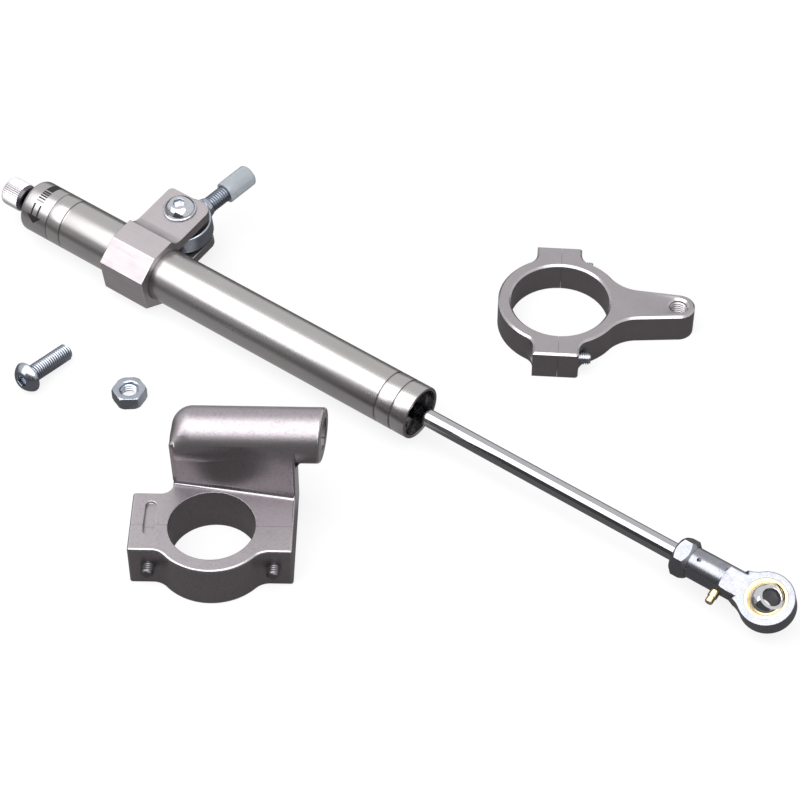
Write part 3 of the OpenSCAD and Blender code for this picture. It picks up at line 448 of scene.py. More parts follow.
def cut(bm: BMesh, point: Sequence[float], outward: Sequence[float], drop: bool = True) -> None:
    """Cuts a mesh at a plane.

    Args:
        bm: The mesh.
        point: A point of the plane.
        outward: Direction of the plane.
        drop: Whether what lies on that side goes.
    """
    bmesh.ops.bisect_plane(bm, geom=bm.verts[:] + bm.edges[:] + bm.faces[:], dist=0.0001,
                           plane_co=point, plane_no=outward, clear_outer=drop)


def keep_part(bm: BMesh, point: Sequence[float], outward: Sequence[float]) -> None:
    """Cuts a mesh at a plane, drops what lies outside it and closes the cut."""
    cut(bm, point, outward)
    bmesh.ops.holes_fill(bm, edges=rims(bm), sides=0)


def placed(bm: BMesh, place: Matrix) -> BMesh:
    """Moves a mesh to its place, in millimetres, and hands it back."""
    bmesh.ops.transform(bm, matrix=place, verts=bm.verts)
    return bm


def threaded_bar(major: float, pitch: float, length: float, tip: float,
                 steps: int = 36) -> BMesh:
    """Bar with a metric thread, from the origin along +X, bevelled at its far end.

    Args:
        major: Outer diameter.
        pitch: Distance between two turns.
        length: Length of the bar.
        tip: Size of the bevel at the far end.
        steps: Facets of one turn.

    Returns:
        The closed mesh.
    """
    crest = major / 2
    root = crest - 0.6134 * pitch
    shape = ((0.0, root), (0.125, root), (0.4375, crest), (0.5625, crest), (0.875, root),
             (1.0, root))
    bm = section([((x - 2) * pitch, r) for x, r in shape], closed=False)
    spin(bm, steps, math.ceil(length / pitch) + 3, pitch)
    bmesh.ops.remove_doubles(bm, verts=bm.verts, dist=0.002)
    keep_part(bm, (0, 0, 0), (-1, 0, 0))
    keep_part(bm, (length, 0, 0), (1, 0, 0))
    for vert in bm.verts:
        limit = crest - max(0.0, vert.co.x - (length - tip))
        radius = math.hypot(vert.co.y, vert.co.z)
        if radius > limit:
            vert.co.yz *= limit / radius
    bmesh.ops.recalc_face_normals(bm, faces=bm.faces)
    return bm


def thread_in_hole(major: float, pitch: float, length: float, steps: int = 36) -> BMesh:
    """Ridge of an internal thread, from the origin along +X, that lies on the hole's wall.

    Args:
        major: Diameter of the hole.
        pitch: Distance between two turns.
        length: Length of the thread.
        steps: Facets of one turn.

    Returns:
        The closed mesh.
    """
    wall = major / 2 - 0.01
    crest = major / 2 - 0.5 * pitch
    shape = ((0.06, wall), (0.42, crest), (0.58, crest), (0.94, wall))
    bm = section([(x * pitch, r) for x, r in shape], closed=True)
    spin(bm, steps, math.floor(length / pitch) - 1, pitch)
    bmesh.ops.holes_fill(bm, edges=rims(bm), sides=0)
    bmesh.ops.recalc_face_normals(bm, faces=bm.faces)
    return bm


def cad_copy(node: str, place: Optional[Matrix] = None, flats: bool = True) -> BMesh:
    """Copy of a CAD node in millimetres, its loose triangles joined.

    Args:
        node: The node's name.
        flats: Whether the triangles of a flat become one face.

    Returns:
        The copied mesh.
    """
    bm = bmesh.new()
    bm.from_mesh(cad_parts[node].data)
    bmesh.ops.scale(bm, vec=(1 / MM,) * 3, verts=bm.verts)
    if place is not None:
        placed(bm, place.inverted())
    bmesh.ops.remove_doubles(bm, verts=bm.verts, dist=0.004)
    if flats:
        bmesh.ops.dissolve_limit(bm, angle_limit=math.radians(0.6), verts=bm.verts,
                                 edges=bm.edges)
    return bm


def soften(bm: BMesh, width: float, segments: int, angle: float = 28.0,
           rubbed: bool = False, where: Callable[[Vector], bool] = lambda point: True,
           hollow: bool = False) -> None:
    """Bevels the outer corners of a mesh, or fills its hollow ones.

    Args:
        bm: The mesh.
        width: Width of the bevel.
        segments: Facets of the bevel.
        angle: Edges that turn by more than this, in degrees, are bevelled.
        rubbed: Whether the bevel takes the piece's second material.
        where: Says of an edge's middle whether the edge is bevelled.
        hollow: Whether hollow corners are filled instead.
    """
    sharp = [e for e in bm.edges if len(e.link_faces) == 2 and e.is_convex != hollow
             and e.calc_face_angle(0.0) > math.radians(angle)
             and where((e.verts[0].co + e.verts[1].co) / 2)]
    done = bmesh.ops.bevel(bm, geom=sharp, offset=width, offset_type="OFFSET", segments=segments,
                           profile=0.5, affect="EDGES", material=-1, clamp_overlap=False)
    if rubbed:
        for face in done["faces"]:
            face.material_index = 1


def join(parts: Iterable[BMesh]) -> BMesh:
    """One mesh of several.

    Args:
        parts: The meshes, which are freed.

    Returns:
        The joined mesh.
    """
    whole = bmesh.new()
    for part in parts:
        carrier = bpy.data.meshes.new("carrier")
        part.to_mesh(carrier)
        whole.from_mesh(carrier)
        bpy.data.meshes.remove(carrier)
        part.free()
    return whole


def add_object(name: str, data: ID) -> Object:
    """Puts an object in the scene.

    Args:
        name: The object's name.
        data: Its mesh, lamp or camera.

    Returns:
        The new object.
    """
    item = bpy.data.objects.new(name, data)
    bpy.context.scene.collection.objects.link(item)
    return item


def add_piece(name: str, bm: BMesh, body: str, finishes: Sequence[str],
              replaces: Sequence[str] = (), crease: float = 30.0,
              even: bool = False) -> Object:
    """Args:
        name: The piece's name.
        body: The CAD body that it rides on.
        finishes: Names of its finishes, in the order of its material indices.
        replaces: CAD nodes that it stands for.
        crease: Edges that turn by more than this, in degrees, stay sharp.
        even: Whether large faces rule the shading, so that flats stay flat beside bevels.

    Returns:
        The new object.
    """
    mesh = bpy.data.meshes.new(name)
    bmesh.ops.scale(bm, vec=(MM,) * 3, verts=bm.verts)
    bm.to_mesh(mesh)
    bm.free()
    for title in finishes:
        mesh.materials.append(finish(title))
    mesh.shade_smooth()
    mesh.set_sharp_from_angle(angle=math.radians(crease))
    piece = add_object(name, mesh)
    if even:
        weighted = piece.modifiers.new("even shading", "WEIGHTED_NORMAL")
        weighted.keep_sharp = True
        weighted.weight = 100
    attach(piece, body)
    if replaces:
        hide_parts(*replaces)
    log.info("%s: %d faces on %s", name, len(mesh.polygons), body)
    return piece


def add_softened(name: str, node: str, body: str, title: str, width: float,
                 segments: int = 2) -> None:
    """Makes a piece in the CAD's shape with its corners softened.

    Args:
        name: The piece's name.
        node: The CAD node that it stands for.
        body: The CAD body that it rides on.
        title: The finish's name.
        width: Width of the softened corners.
        segments: Facets across them.
    """
    bm = cad_copy(node)
    soften(bm, width, segments)
    add_piece(name, bm, body, [title], [node])


def add_screws(name: str, node: str, place: Matrix, shanks: Sequence[Matrix],
               sizes: tuple[float, float, float, float], title: str, edge: float) -> None:
    """Makes screws with real threads: the CAD heads, with a threaded shank under each.

    Args:
        name: The piece's name.
        node: The CAD node that it stands for.
        place: The frame of its sub-assembly.
        shanks: Where each shank starts in that frame, with X along it.
        sizes: Diameter, pitch, length and end bevel of a shank.
        title: The finish's name.
        edge: Width of the bevel on the heads.
    """
    heads = cad_copy(node, place)
    along = shanks[0].col[0].to_3d()
    keep_part(heads, shanks[0].translation + along * 0.02, along)
    soften(heads, edge, 2)
    bars = [placed(threaded_bar(*sizes), shank) for shank in shanks]
    add_piece(name, placed(join([heads, *bars]), place), KIT, [title], [node])


def dress(nodes: Sequence[str], title: str) -> None:
    """Gives CAD nodes that stay their finish.

    Args:
        nodes: The nodes' names.
        title: The finish's name.
    """
    for node in nodes:
        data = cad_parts[node].data
        data.materials.clear()
        data.materials.append(finish(title))
        log.info("%s: CAD shape in %s", node, title)


# Sub-assemblies


@dataclass
class DamperTube:
    """Outer tube with its rolled grooves, end cap with a printed scale, and the open end."""

    radius: float = 12.5
    bore: float = 11.0
    cap_length: float = 16.4
    cap_round: float = 1.75
    cap_cone: float = 3.6
    cone_drop: float = 2.0
    boss_radius: float = 4.7
    boss_end: float = 4.7
    end: float = 227.1
    groove_pitch: float = 8.2
    groove_width: float = 1.0
    groove_depth: float = 0.8
    spindle_bore: float = 3.05
    chamber: float = 4.2
    chamber_from: float = 9.0
    clip_groove: float = 4.7
    clip_from: float = 11.3
    clip_to: float = 12.1
    spigot_length: float = 10.2
    spigot_play: float = 0.05
    ring_back: float = 4.0
    ring_half: float = 1.2
    ring_depth: float = 1.6
    relief: float = 0.4
    snap_from: float = 220.6
    snap_to: float = 221.9
    snap_depth: float = 0.6
    ink: float = 0.05
    ink_sunk: float = 0.01
    # Degrees round the cap for one facet of the ink
    ink_facet: float = 2.5

    def groove(self, middle: float) -> list[tuple[float, ...]]:
        """Corners of one rolled groove.

        Args:
            middle: Its place along the tube.

        Returns:
            The corners from left to right.
        """
        half = self.groove_width / 2
        low = self.radius - self.groove_depth
        return [(middle - half - 0.1, self.radius, 0.06), (middle - half + 0.2, low, 0.1),
                (middle + half - 0.2, low, 0.1), (middle + half + 0.1, self.radius, 0.06)]

    def make_tube(self) -> None:
        """Makes the outer tube."""
        start = self.cap_length
        profile: list[tuple[float, ...]] = [(start, self.bore), (start, self.radius, 0.15)]
        for middle in (start + self.groove_pitch, self.end - 2 * self.groove_pitch,
                       self.end - self.groove_pitch):
            profile += self.groove(middle)
        profile += [(self.end, self.radius, 0.45), (self.end, self.bore, 0.3),
                    (self.snap_to, self.bore), (self.snap_to, self.bore + self.snap_depth),
                    (self.snap_from, self.bore + self.snap_depth), (self.snap_from, self.bore)]
        add_piece("tube", placed(lathe(profile, closed=True, steps=192), TUBE_PLACE), KIT,
                  ["anodised_tube"], ["outer_tube"])

    def make_cap(self) -> None:
        """Makes the end cap with its boss, spigot and O-ring groove."""
        spigot = self.bore - self.spigot_play
        start = self.cap_length
        end = start + self.spigot_length
        ring = end - self.ring_back
        ring_floor = spigot - self.ring_depth
        profile = [(-self.boss_end, self.spindle_bore), (-self.boss_end, self.boss_radius, 0.4),
                   (-self.cap_cone, self.boss_radius), (-0.2, self.radius - self.cone_drop, 0.6),
                   (0.0, self.radius, self.cap_round), (start - 0.35, self.radius, 0.12),
                   (start - 0.3, self.radius - self.relief), (start, self.radius - self.relief),
                   (start, spigot), (ring - self.ring_half, spigot),
                   (ring - self.ring_half, ring_floor), (ring + self.ring_half, ring_floor),
                   (ring + self.ring_half, spigot), (end, spigot, 0.5), (end, self.chamber),
                   (self.clip_to, self.chamber), (self.clip_to, self.clip_groove),
                   (self.clip_from, self.clip_groove), (self.clip_from, self.chamber),
                   (self.chamber_from, self.chamber), (self.chamber_from, self.spindle_bore)]
        add_piece("end_cap_turned", placed(lathe(profile, closed=True, steps=192), TUBE_PLACE),
                  KIT, ["anodised_cap"], ["end_cap"])

    def wrapped(self, outline: Sequence[tuple[float, float]]) -> BMesh:
        """Thin patch of ink that lies on the cap.

        Args:
            outline: Corners as place along the cap and angle, in degrees above the front.
        """
        bm = bmesh.new()
        bm.faces.new([bm.verts.new((x, angle, 0.0)) for x, angle in outline])
        low = min(angle for _, angle in outline)
        high = max(angle for _, angle in outline)
        cuts = max(1, int((high - low) / self.ink_facet))
        for i in range(1, cuts):
            cut(bm, (0, low + (high - low) * i / cuts, 0), (0, 1, 0), drop=False)
        under = self.radius - self.ink_sunk
        for vert in bm.verts:
            angle = math.radians(vert.co.y)
            vert.co.y, vert.co.z = -under * math.cos(angle), under * math.sin(angle)
        skin = bmesh.ops.extrude_face_region(bm, geom=bm.faces[:], use_keep_orig=True)
        for item in skin["geom"]:
            if isinstance(item, BMVert):
                item.co.yz *= (self.radius + self.ink) / self.radius
        bmesh.ops.recalc_face_normals(bm, faces=bm.faces)
        return placed(bm, TUBE_PLACE)

    def bar(self, left: float, right: float, low: float, high: float) -> BMesh:
        """Four-sided patch of ink between two places and two angles."""
        return self.wrapped([(left, low), (left, high), (right, high), (right, low)])

    def print_scale(self) -> None:
        """Prints the adjuster's scale: an arrow, its two lines, bars and a block, no lettering."""
        black = [(6.3, 7.2, 26.5, 54.0), (9.8, 10.7, 26.5, 54.0), (6.5, 10.4, 94.0, 128.0)]
        black += [(6.5, 10.6, middle - tall / 2, middle + tall / 2)
                  for middle, tall in ((69.7, 3.2), (76.3, 3.4), (82.5, 3.8), (88.2, 4.4))]
        arrow = self.wrapped([(8.5, 8.5), (4.2, 27.0), (12.8, 27.0)])
        add_piece("scale_print", join([arrow, *(self.bar(*sides) for sides in black)]), KIT,
                  ["print_ink"])
        add_piece("scale_print_faint", self.bar(6.5, 10.6, 61.2, 64.2), KIT, ["print_ink_thin"])

    def build(self) -> None:
        """Makes and dresses the tube's pieces."""
        self.make_tube()
        self.make_cap()
        self.print_scale()
        dress(["valve_block", "inner_tube", "head_gland"], "machined")
        dress(["end_cap_oring", "gland_oring", "rod_seal", "rod_wiper"], "nitrile")
        dress(["spindle_clip", "snap_ring"], "spring_steel")
        dress(["guide_bush"], "bronze")


@dataclass
class Adjuster:
    """Knurled knob on its nearly black spindle, with the needle behind it."""

    left: float = -17.6
    shoulder: float = -7.6
    right: float = -5.8
    radius: float = 7.0
    shoulder_radius: float = 6.2
    recess_radius: float = 2.3
    recess_depth: float = 1.2
    screw_radius: float = 1.55
    seat_depth: float = 2.45
    spindle_radius: float = 3.05
    ridges: int = 44
    ridge_depth: float = 0.35
    edge: float = 1.6

    def make_knob(self) -> None:
        """Makes the knob: straight ridges round it, and a smooth shoulder darkened as painted
        shade.
        """
        seat = self.left + self.seat_depth
        recess = self.left + self.recess_depth
        steps = 2 * self.ridges
        knob = lathe([(self.left, self.recess_radius), (self.left, self.radius, self.edge),
                      (self.left + 2 * self.edge, self.radius), (self.shoulder, self.radius, 0.3),
                      (self.shoulder, self.shoulder_radius + 0.3),
                      (self.right, self.shoulder_radius, 0.3), (self.right, self.spindle_radius),
                      (seat, self.spindle_radius), (seat, self.screw_radius),
                      (recess, self.screw_radius), (recess, self.recess_radius)],
                     closed=True, steps=steps)
        for vert in knob.verts:
            radius = math.hypot(vert.co.y, vert.co.z)
            place = round(math.atan2(vert.co.y, vert.co.z) / math.tau * steps)
            if radius > self.radius - self.ridge_depth and place % 2:
                vert.co.yz *= (radius - self.ridge_depth) / radius
        # The shoulder's faces take the darker finish: painted shade beside the neck
        for face in knob.faces:
            if face.calc_center_median().x > self.shoulder:
                face.material_index = 1
        add_piece("knob", placed(knob, TUBE_PLACE), "adjuster", ["turned_knob", "knob_shoulder"],
                  ["adjuster_knob"], crease=25.0)

    def build(self) -> None:
        """Makes and dresses the adjuster's pieces."""
        self.make_knob()
        dress(["knob_screw", "adjuster_spindle", "adjuster_needle"], "stainless")
        dress(["spindle_oring"], "nitrile")


@dataclass
class RodAssembly:
    """Chromed rod with its piston, and the rod end with its ball, race and grease nipple."""

    radius: float = 4.0
    tail_radius: float = 3.0
    tail: float = 171.85
    shoulder: float = 189.4
    end: float = 378.5
    hex_across: float = 16.0
    hex_length: float = 7.6
    hex_bevel: float = 2.0
    eye_reach: float = 43.7
    eye_radius: float = 12.2
    eye_half: float = 4.5
    eye_edge: float = 0.5
    race_radius: float = 9.2
    seat_radius: float = 7.99
    lead_radius: float = 8.0
    ball_radius: float = 7.94
    ball_width: float = 11.2
    ball_bore: float = 4.0
    lean: float = 27
    lean_direction: float = 40
    shank_radius: float = 6.9
    flat_half: float = 5.25
    neck_from: float = 28.55
    neck_run: float = 2.5
    nipple_at: float = 22.8
    nipple_seat: float = 6.506
    nipple_length: float = 6.1
    nipple_thread: float = 2.3
    nipple_thread_radius: float = 1.5
    collar_radius: float = 2.15
    stem_radius: float = 1.8

    def make_rod(self) -> None:
        """Makes the polished rod."""
        profile = [(self.tail, 0.0), (self.tail, self.tail_radius, 0.5),
                   (self.shoulder, self.tail_radius), (self.shoulder, self.radius, 0.2),
                   (self.end, self.radius, 0.6), (self.end, 0.0)]
        add_piece("rod_polished", placed(lathe(profile, steps=160), TUBE_PLACE), "rod",
                  ["hard_chrome"], ["piston_rod"])

    def on_rim(self, point: Vector) -> bool:
        """Whether a point of the rod end's frame lies on the eye's outer rim."""
        from_eye = math.hypot(point.x - self.eye_reach, point.y)
        return from_eye > self.eye_radius - 0.1 and abs(abs(point.z) - self.eye_half) < 0.05

    def make_body(self) -> None:
        """Makes the rod end's body.

        The eye's plate rises softly out of the round shank, and the hexagon has a flat along the
        eye's face.
        """
        shank = cad_copy("rod_end_body", ROD_END_PLACE, flats=False)
        seam = self.hex_length + 0.05
        cut(shank, (seam, 0, 0), (-1, 0, 0))
        bmesh.ops.bridge_loops(shank, edges=rims(shank))
        for vert in shank.verts:
            share = min(1.0, (vert.co.x - self.neck_from) / self.neck_run)
            side = abs(vert.co.y)
            if share > -0.01 and side > self.flat_half:
                on_shank = math.sqrt(max(0.0, self.shank_radius ** 2 - side ** 2))
                limit = max(share, 0.0) * self.eye_half + (1 - max(share, 0.0)) * on_shank
                vert.co.z = max(-limit, min(limit, vert.co.z))
        soften(shank, self.eye_edge, 3, where=self.on_rim)
        corner = self.hex_across / 2 / math.cos(math.radians(30))
        hexagon = lathe([(0, self.radius + 0.02), (0, corner - self.hex_bevel),
                         (self.hex_bevel, corner), (seam - self.hex_bevel, corner),
                         (seam, corner - self.hex_bevel), (seam, self.radius + 0.02)],
                        closed=True)
        for side in range(6):
            angle = math.radians(60 * side)
            outward = (0, math.sin(angle), math.cos(angle))
            keep_part(hexagon, [c * self.hex_across / 2 for c in outward], outward)
        bmesh.ops.recalc_face_normals(hexagon, faces=hexagon.faces)
        add_piece("rod_end", placed(join([shank, hexagon]), ROD_END_PLACE), "rod",
                  ["rod_end_zinc"], ["rod_end_body"], even=True)

    def make_race(self) -> None:
        """Makes the brass race with its wide lead-in and its round seat."""
        seat = [(x, math.sqrt(self.seat_radius ** 2 - x ** 2))
                for x in (3.4, 2.5, 1.5, 0.5, -0.5, -1.5, -2.5, -3.4)]
        half = self.eye_half
        profile = [(-half, self.race_radius, 0.2), (half, self.race_radius, 0.2),
                   (half, self.lead_radius), *seat, (-half, self.lead_radius)]
        place = ROD_END_PLACE @ shift(self.eye_reach) @ turn("Y", 90)
        add_piece("race", placed(lathe(profile, closed=True), place), "rod", ["brass"],
                  ["rod_end_race"])

    def make_ball(self) -> None:
        """Makes the polished ball with its flat ends and its bore."""
        half = self.ball_width / 2
        arc = [half * (1 - i / 12) for i in range(1, 24)]
        round_side = [(x, math.sqrt(self.ball_radius ** 2 - x ** 2)) for x in arc]
        flat = math.sqrt(self.ball_radius ** 2 - half ** 2)
        profile = [(-half, self.ball_bore, 0.5), (half, self.ball_bore, 0.5), (half, flat),
                   *round_side, (-half, flat)]
        place = (ROD_END_PLACE @ shift(self.eye_reach) @ turn("Z", self.lean_direction)
                 @ turn("Y", self.lean - 90))
        add_piece("ball", placed(lathe(profile, closed=True), place), "rod_ball",
                  ["bearing_steel"], ["rod_end_ball"])

    def make_nipple(self) -> None:
        """Makes the grease nipple: a collar and a slightly narrower stem with a round tip."""
        collar = self.nipple_length / 2
        thread = self.nipple_thread_radius
        profile = [(-self.nipple_thread, 0.0), (-self.nipple_thread, thread, 0.2), (0.0, thread),
                   (0.0, self.collar_radius, 0.1), (collar, self.collar_radius, 0.3),
                   (collar, self.stem_radius), (self.nipple_length, self.stem_radius, 0.9),
                   (self.nipple_length, 0.0)]
        place = ROD_END_PLACE @ shift(self.nipple_at, -self.nipple_seat) @ turn("Z", -90)
        add_piece("nipple", placed(lathe(profile, steps=64), place), "rod", ["brass"],
                  ["grease_nipple"])

    def build(self) -> None:
        """Makes and dresses the rod's pieces."""
        self.make_rod()
        self.make_body()
        self.make_race()
        self.make_ball()
        self.make_nipple()
        dress(["piston"], "machined")
        dress(["valve_shims"], "spring_steel")
        dress(["piston_nut"], "zinc_plate")
        dress(["rebound_bumper"], "nitrile")
        dress(["piston_ring"], "filled_ptfe")


@dataclass
class BodyClamp:
    """Clamp block with two ears, its pivot screw, and the stud rod end between the ears."""

    edge: float = 0.35
    stud: float = 8.0
    pitch: float = 1.25
    rim: float = 14.0
    stud_length: float = 27.4
    neck: float = 3.0
    pivot_y: float = 28.0
    ear_top: float = 9.0
    shank_reach: float = 4.2
    head_share: float = 0.91

    def make_stud(self) -> None:
        """Makes the stud rod end, with a real thread on its stud."""
        eye = cad_copy("stud_rod_end", STUD_PLACE)
        keep_part(eye, (0, self.rim + self.neck - 0.4, 0), (0, 1, 0))
        soften(eye, 0.3, 2)
        start = self.rim + self.neck - 0.6
        thread = threaded_bar(self.stud, self.pitch, self.rim + self.stud_length - start, 0.9)
        placed(thread, shift(0, start, 0) @ turn("Z", 90))
        add_piece("stud_eye", placed(join([eye, thread]), STUD_PLACE), "stud", ["zinc_plate"],
                  ["stud_rod_end"], even=True)

    def build(self) -> None:
        """Makes and dresses the clamp's pieces."""
        block = cad_copy("body_clamp")
        soften(block, self.edge, 2, rubbed=True)
        add_piece("clamp_block", block, KIT, ["milled_clamp", "rubbed_edge_and_sheen"], ["body_clamp"],
                  even=True)
        screw = cad_copy("pivot_screw", CLAMP_PLACE)
        for vert in screw.verts:
            from_axis = math.hypot(vert.co.x, vert.co.y - self.pivot_y)
            if vert.co.z > self.ear_top and from_axis > self.shank_reach:
                vert.co.x *= self.head_share
                vert.co.y = self.pivot_y + (vert.co.y - self.pivot_y) * self.head_share
        soften(screw, 0.25, 2)
        add_piece("pivot_button_screw", placed(screw, CLAMP_PLACE), KIT, ["bright_screw"],
                  ["pivot_screw"])
        self.make_stud()
        add_softened("pivot_bearing_ball", "stud_ball", "pivot_ball", "bearing_steel", 0.25)
        add_piece("pivot_race", cad_copy("stud_race"), "stud", ["brass"], ["stud_race"])
        dress(["pivot_washers"], "zinc_plate")
        add_softened("sleeve_vinyl", "thread_protector", "sleeve", "vinyl", 0.3, 3)


@dataclass
class ForkClamp:
    """Two-piece clamp for the fork tube, with a threaded arm and two pinch screws."""

    thickness: float = 15.0
    reach: float = 54.4
    chamfer: float = 0.9
    fine_edge: float = 0.3
    hole: float = 8.0
    pitch: float = 1.25
    countersink: float = 1.0
    screw: tuple[float, float, float, float] = (6.0, 1.0, 20.0, 0.8)
    screw_at: float = 29.4
    seat: float = 5.05
    # Edges this near the hole in the arm, or the joint of the halves, keep their shape
    hole_reach: float = 1.5
    joint_reach: float = 0.3

    def on_outline(self, point: Vector) -> bool:
        """Whether a point of the clamp's top lies on its outline or the bore's rim."""
        from_hole = math.hypot(point.x - self.reach, point.y) - self.hole / 2
        at_top = abs(point.z - self.thickness) < SAME
        return at_top and from_hole >= self.hole_reach and abs(point.x) > self.joint_reach

    def on_underside(self, point: Vector) -> bool:
        """Whether a point lies on an edge of the underside."""
        return abs(point.z) < SAME and abs(point.x) > self.joint_reach

    def make_half(self, name: str, node: str) -> None:
        """Makes one half with its bright chamfers.

        Args:
            name: The piece's name.
            node: The CAD node that it stands for.
        """
        half = cad_copy(node, FORK_PLACE)
        soften(half, self.chamfer, 1, angle=40.0, rubbed=True, where=self.on_outline)
        soften(half, self.fine_edge, 1, angle=40.0, rubbed=True, where=self.on_underside)
        for face in half.faces:
            middle = face.calc_center_median()
            from_hole = math.hypot(middle.x - self.reach, middle.y)
            in_ring = self.hole / 2 < from_hole < self.hole / 2 + self.countersink
            if in_ring and face.normal.z <= 0.9:
                face.material_index = 1
        add_piece(name, placed(half, FORK_PLACE), KIT, ["fork_clamp", "rubbed_edge_and_sheen"], [node])

    def build(self) -> None:
        """Makes and dresses the fork clamp's pieces."""
        self.make_half("fork_arm_half", "fork_clamp_arm")
        self.make_half("fork_cap_half", "fork_clamp_cap")
        shanks = [shift(-self.seat, at, self.thickness / 2)
                  for at in (-self.screw_at, self.screw_at)]
        add_screws("fork_pinch_screws", "fork_clamp_screws", FORK_PLACE, shanks,
                   self.screw, "bright_screw", 0.2)
        thread = thread_in_hole(self.hole, self.pitch, self.thickness - 2 * self.countersink, 72)
        placed(thread, shift(self.reach, 0, self.countersink) @ turn("Y", -90))
        add_piece("fork_arm_thread_ridge", placed(thread, FORK_PLACE), KIT, ["fork_clamp"])


@dataclass
class FrameBracket:
    """Blasted casting with its clamp, web and threaded boss, front cap and two pinch screws."""

    height: float = 21.5
    edge: float = 1.1
    fine_edge: float = 0.4
    root: float = 2.2
    bore: float = 37.0
    slot_x: float = -26.5
    slot_half: float = 3.0
    boss_y: float = 31.2
    boss_z: float = 44.7
    boss_right: float = 46.4
    boss_left: float = -17.8
    boss_radius: float = 12.0
    boss_round: float = 9.0
    # The boss's end turns round between these heights, in shares of its radius
    round_from: float = 0.1
    round_run: float = 0.85
    end_shift: float = 0.2
    thread_depth: float = 30.0
    mouth: float = 3.0
    hole: float = 8.0
    pitch: float = 1.25
    screw: tuple[float, float, float, float] = (6.0, 1.0, 25.0, 1.2)
    screw_at: float = 26.5
    seat: float = 6.35
    # Edges this near a screw's hole, the boss's thread or the joint of the halves stay sharp
    hole_reach: float = 6.0
    thread_reach: float = 9.0
    joint_reach: float = 0.3

    def near_hole(self, point: Vector) -> bool:
        """Whether a point lies at a screw hole or at the boss's thread.

        Args:
            point: Middle of an edge, in the bracket's frame.

        Returns:
            True near a hole.
        """
        from_screws = math.hypot(abs(point.x) - self.screw_at, point.z - self.height / 2)
        from_thread = math.hypot(point.y - self.boss_y, point.z - self.boss_z)
        return from_screws < self.hole_reach or from_thread < self.thread_reach

    def on_bore_or_slot(self, point: Vector) -> bool:
        """Whether a point lies on the bore's rim or the slot's rim.

        Args:
            point: Middle of an edge, in the bracket's frame.

        Returns:
            True for an edge that gets the fine round.
        """
        at_bore = abs(math.hypot(point.x, point.y) - self.bore / 2) < 0.1
        at_slot = abs(point.x - self.slot_x) < self.slot_half and abs(point.y) < 14
        flat = min(abs(point.z), abs(point.z - self.height)) < SAME
        return flat and (at_bore or at_slot) and abs(point.y) > self.joint_reach

    def on_outline(self, point: Vector) -> bool:
        """Whether a point lies on an outer edge of the casting.

        Args:
            point: Middle of an edge, in the bracket's frame.

        Returns:
            True for an edge that gets the wide round.
        """
        at_bore = math.hypot(point.x, point.y) < self.bore / 2 + 0.3
        at_slot = abs(point.x - self.slot_x) < self.slot_half and abs(point.y) < 13
        at_end = point.x < self.boss_left + 2 and point.z > self.height + 4
        kept = self.near_hole(point) or at_bore or at_slot or at_end
        return not kept and abs(point.y) > self.joint_reach

    def on_web_root(self, point: Vector) -> bool:
        """Whether a point lies where the web's front meets the clamp's top."""
        return abs(point.z - self.height) < 0.05 and point.y > self.bore / 2 - 4

    def square_boss_end(self, bm: BMesh) -> None:
        """Keeps the boss's closed end round at its top only, as the pattern's outline has it.

        Args:
            bm: The casting, in the bracket's frame.
        """
        for vert in bm.verts:
            up = vert.co.z - self.boss_z
            out = math.hypot(vert.co.y - self.boss_y, up)
            rim = self.boss_radius - self.boss_round - 0.05 < out < self.boss_radius + 0.05
            if vert.co.x > self.boss_left + self.boss_round or not rim or vert.co.y > self.boss_y:
                continue
            share = min(1.0, max(0.0, (up / out - self.round_from) / self.round_run))
            grow = share + (1 - share) * self.boss_radius / out
            vert.co.y = self.boss_y + (vert.co.y - self.boss_y) * grow
            vert.co.z = self.boss_z + up * grow
            if vert.co.x < self.boss_left + 0.01:
                vert.co.x -= self.end_shift

    def make_half(self, name: str, node: str) -> None:
        """Makes one casting with its rubbed edges, and a painted highlight on the hollow root of
        its web.

        Args:
            name: The piece's name.
            node: The CAD node that it stands for.
        """
        casting = cad_copy(node, BRACKET_PLACE)
        self.square_boss_end(casting)
        # The hollow fillet at the web's root takes the lighter edge finish: a painted highlight
        soften(casting, self.root, 4, angle=30.0, rubbed=True, where=self.on_web_root,
               hollow=True)
        soften(casting, self.edge, 3, angle=35.0, rubbed=True, where=self.on_outline)
        soften(casting, self.fine_edge, 2, angle=35.0, rubbed=True, where=self.on_bore_or_slot)
        add_piece(name, placed(casting, BRACKET_PLACE), KIT, ["blasted_casting", "rubbed_edge_and_sheen"],
                  [node], even=True)

    def build(self) -> None:
        """Makes and dresses the bracket's pieces."""
        self.make_half("bracket_casting", "bracket_body")
        self.make_half("bracket_front_cap", "bracket_cap")
        shanks = [shift(at, self.seat, self.height / 2) @ turn("Z", -90)
                  for at in (-self.screw_at, self.screw_at)]
        add_screws("bracket_pinch_screws", "bracket_screws", BRACKET_PLACE, shanks,
                   self.screw, "plain_steel", 0.2)
        thread = thread_in_hole(self.hole, self.pitch, self.thread_depth - self.mouth)
        place = shift(self.boss_right - self.thread_depth, self.boss_y, self.boss_z)
        add_piece("boss_thread_ridge", placed(thread, BRACKET_PLACE @ place), KIT,
                  ["bright_screw"])


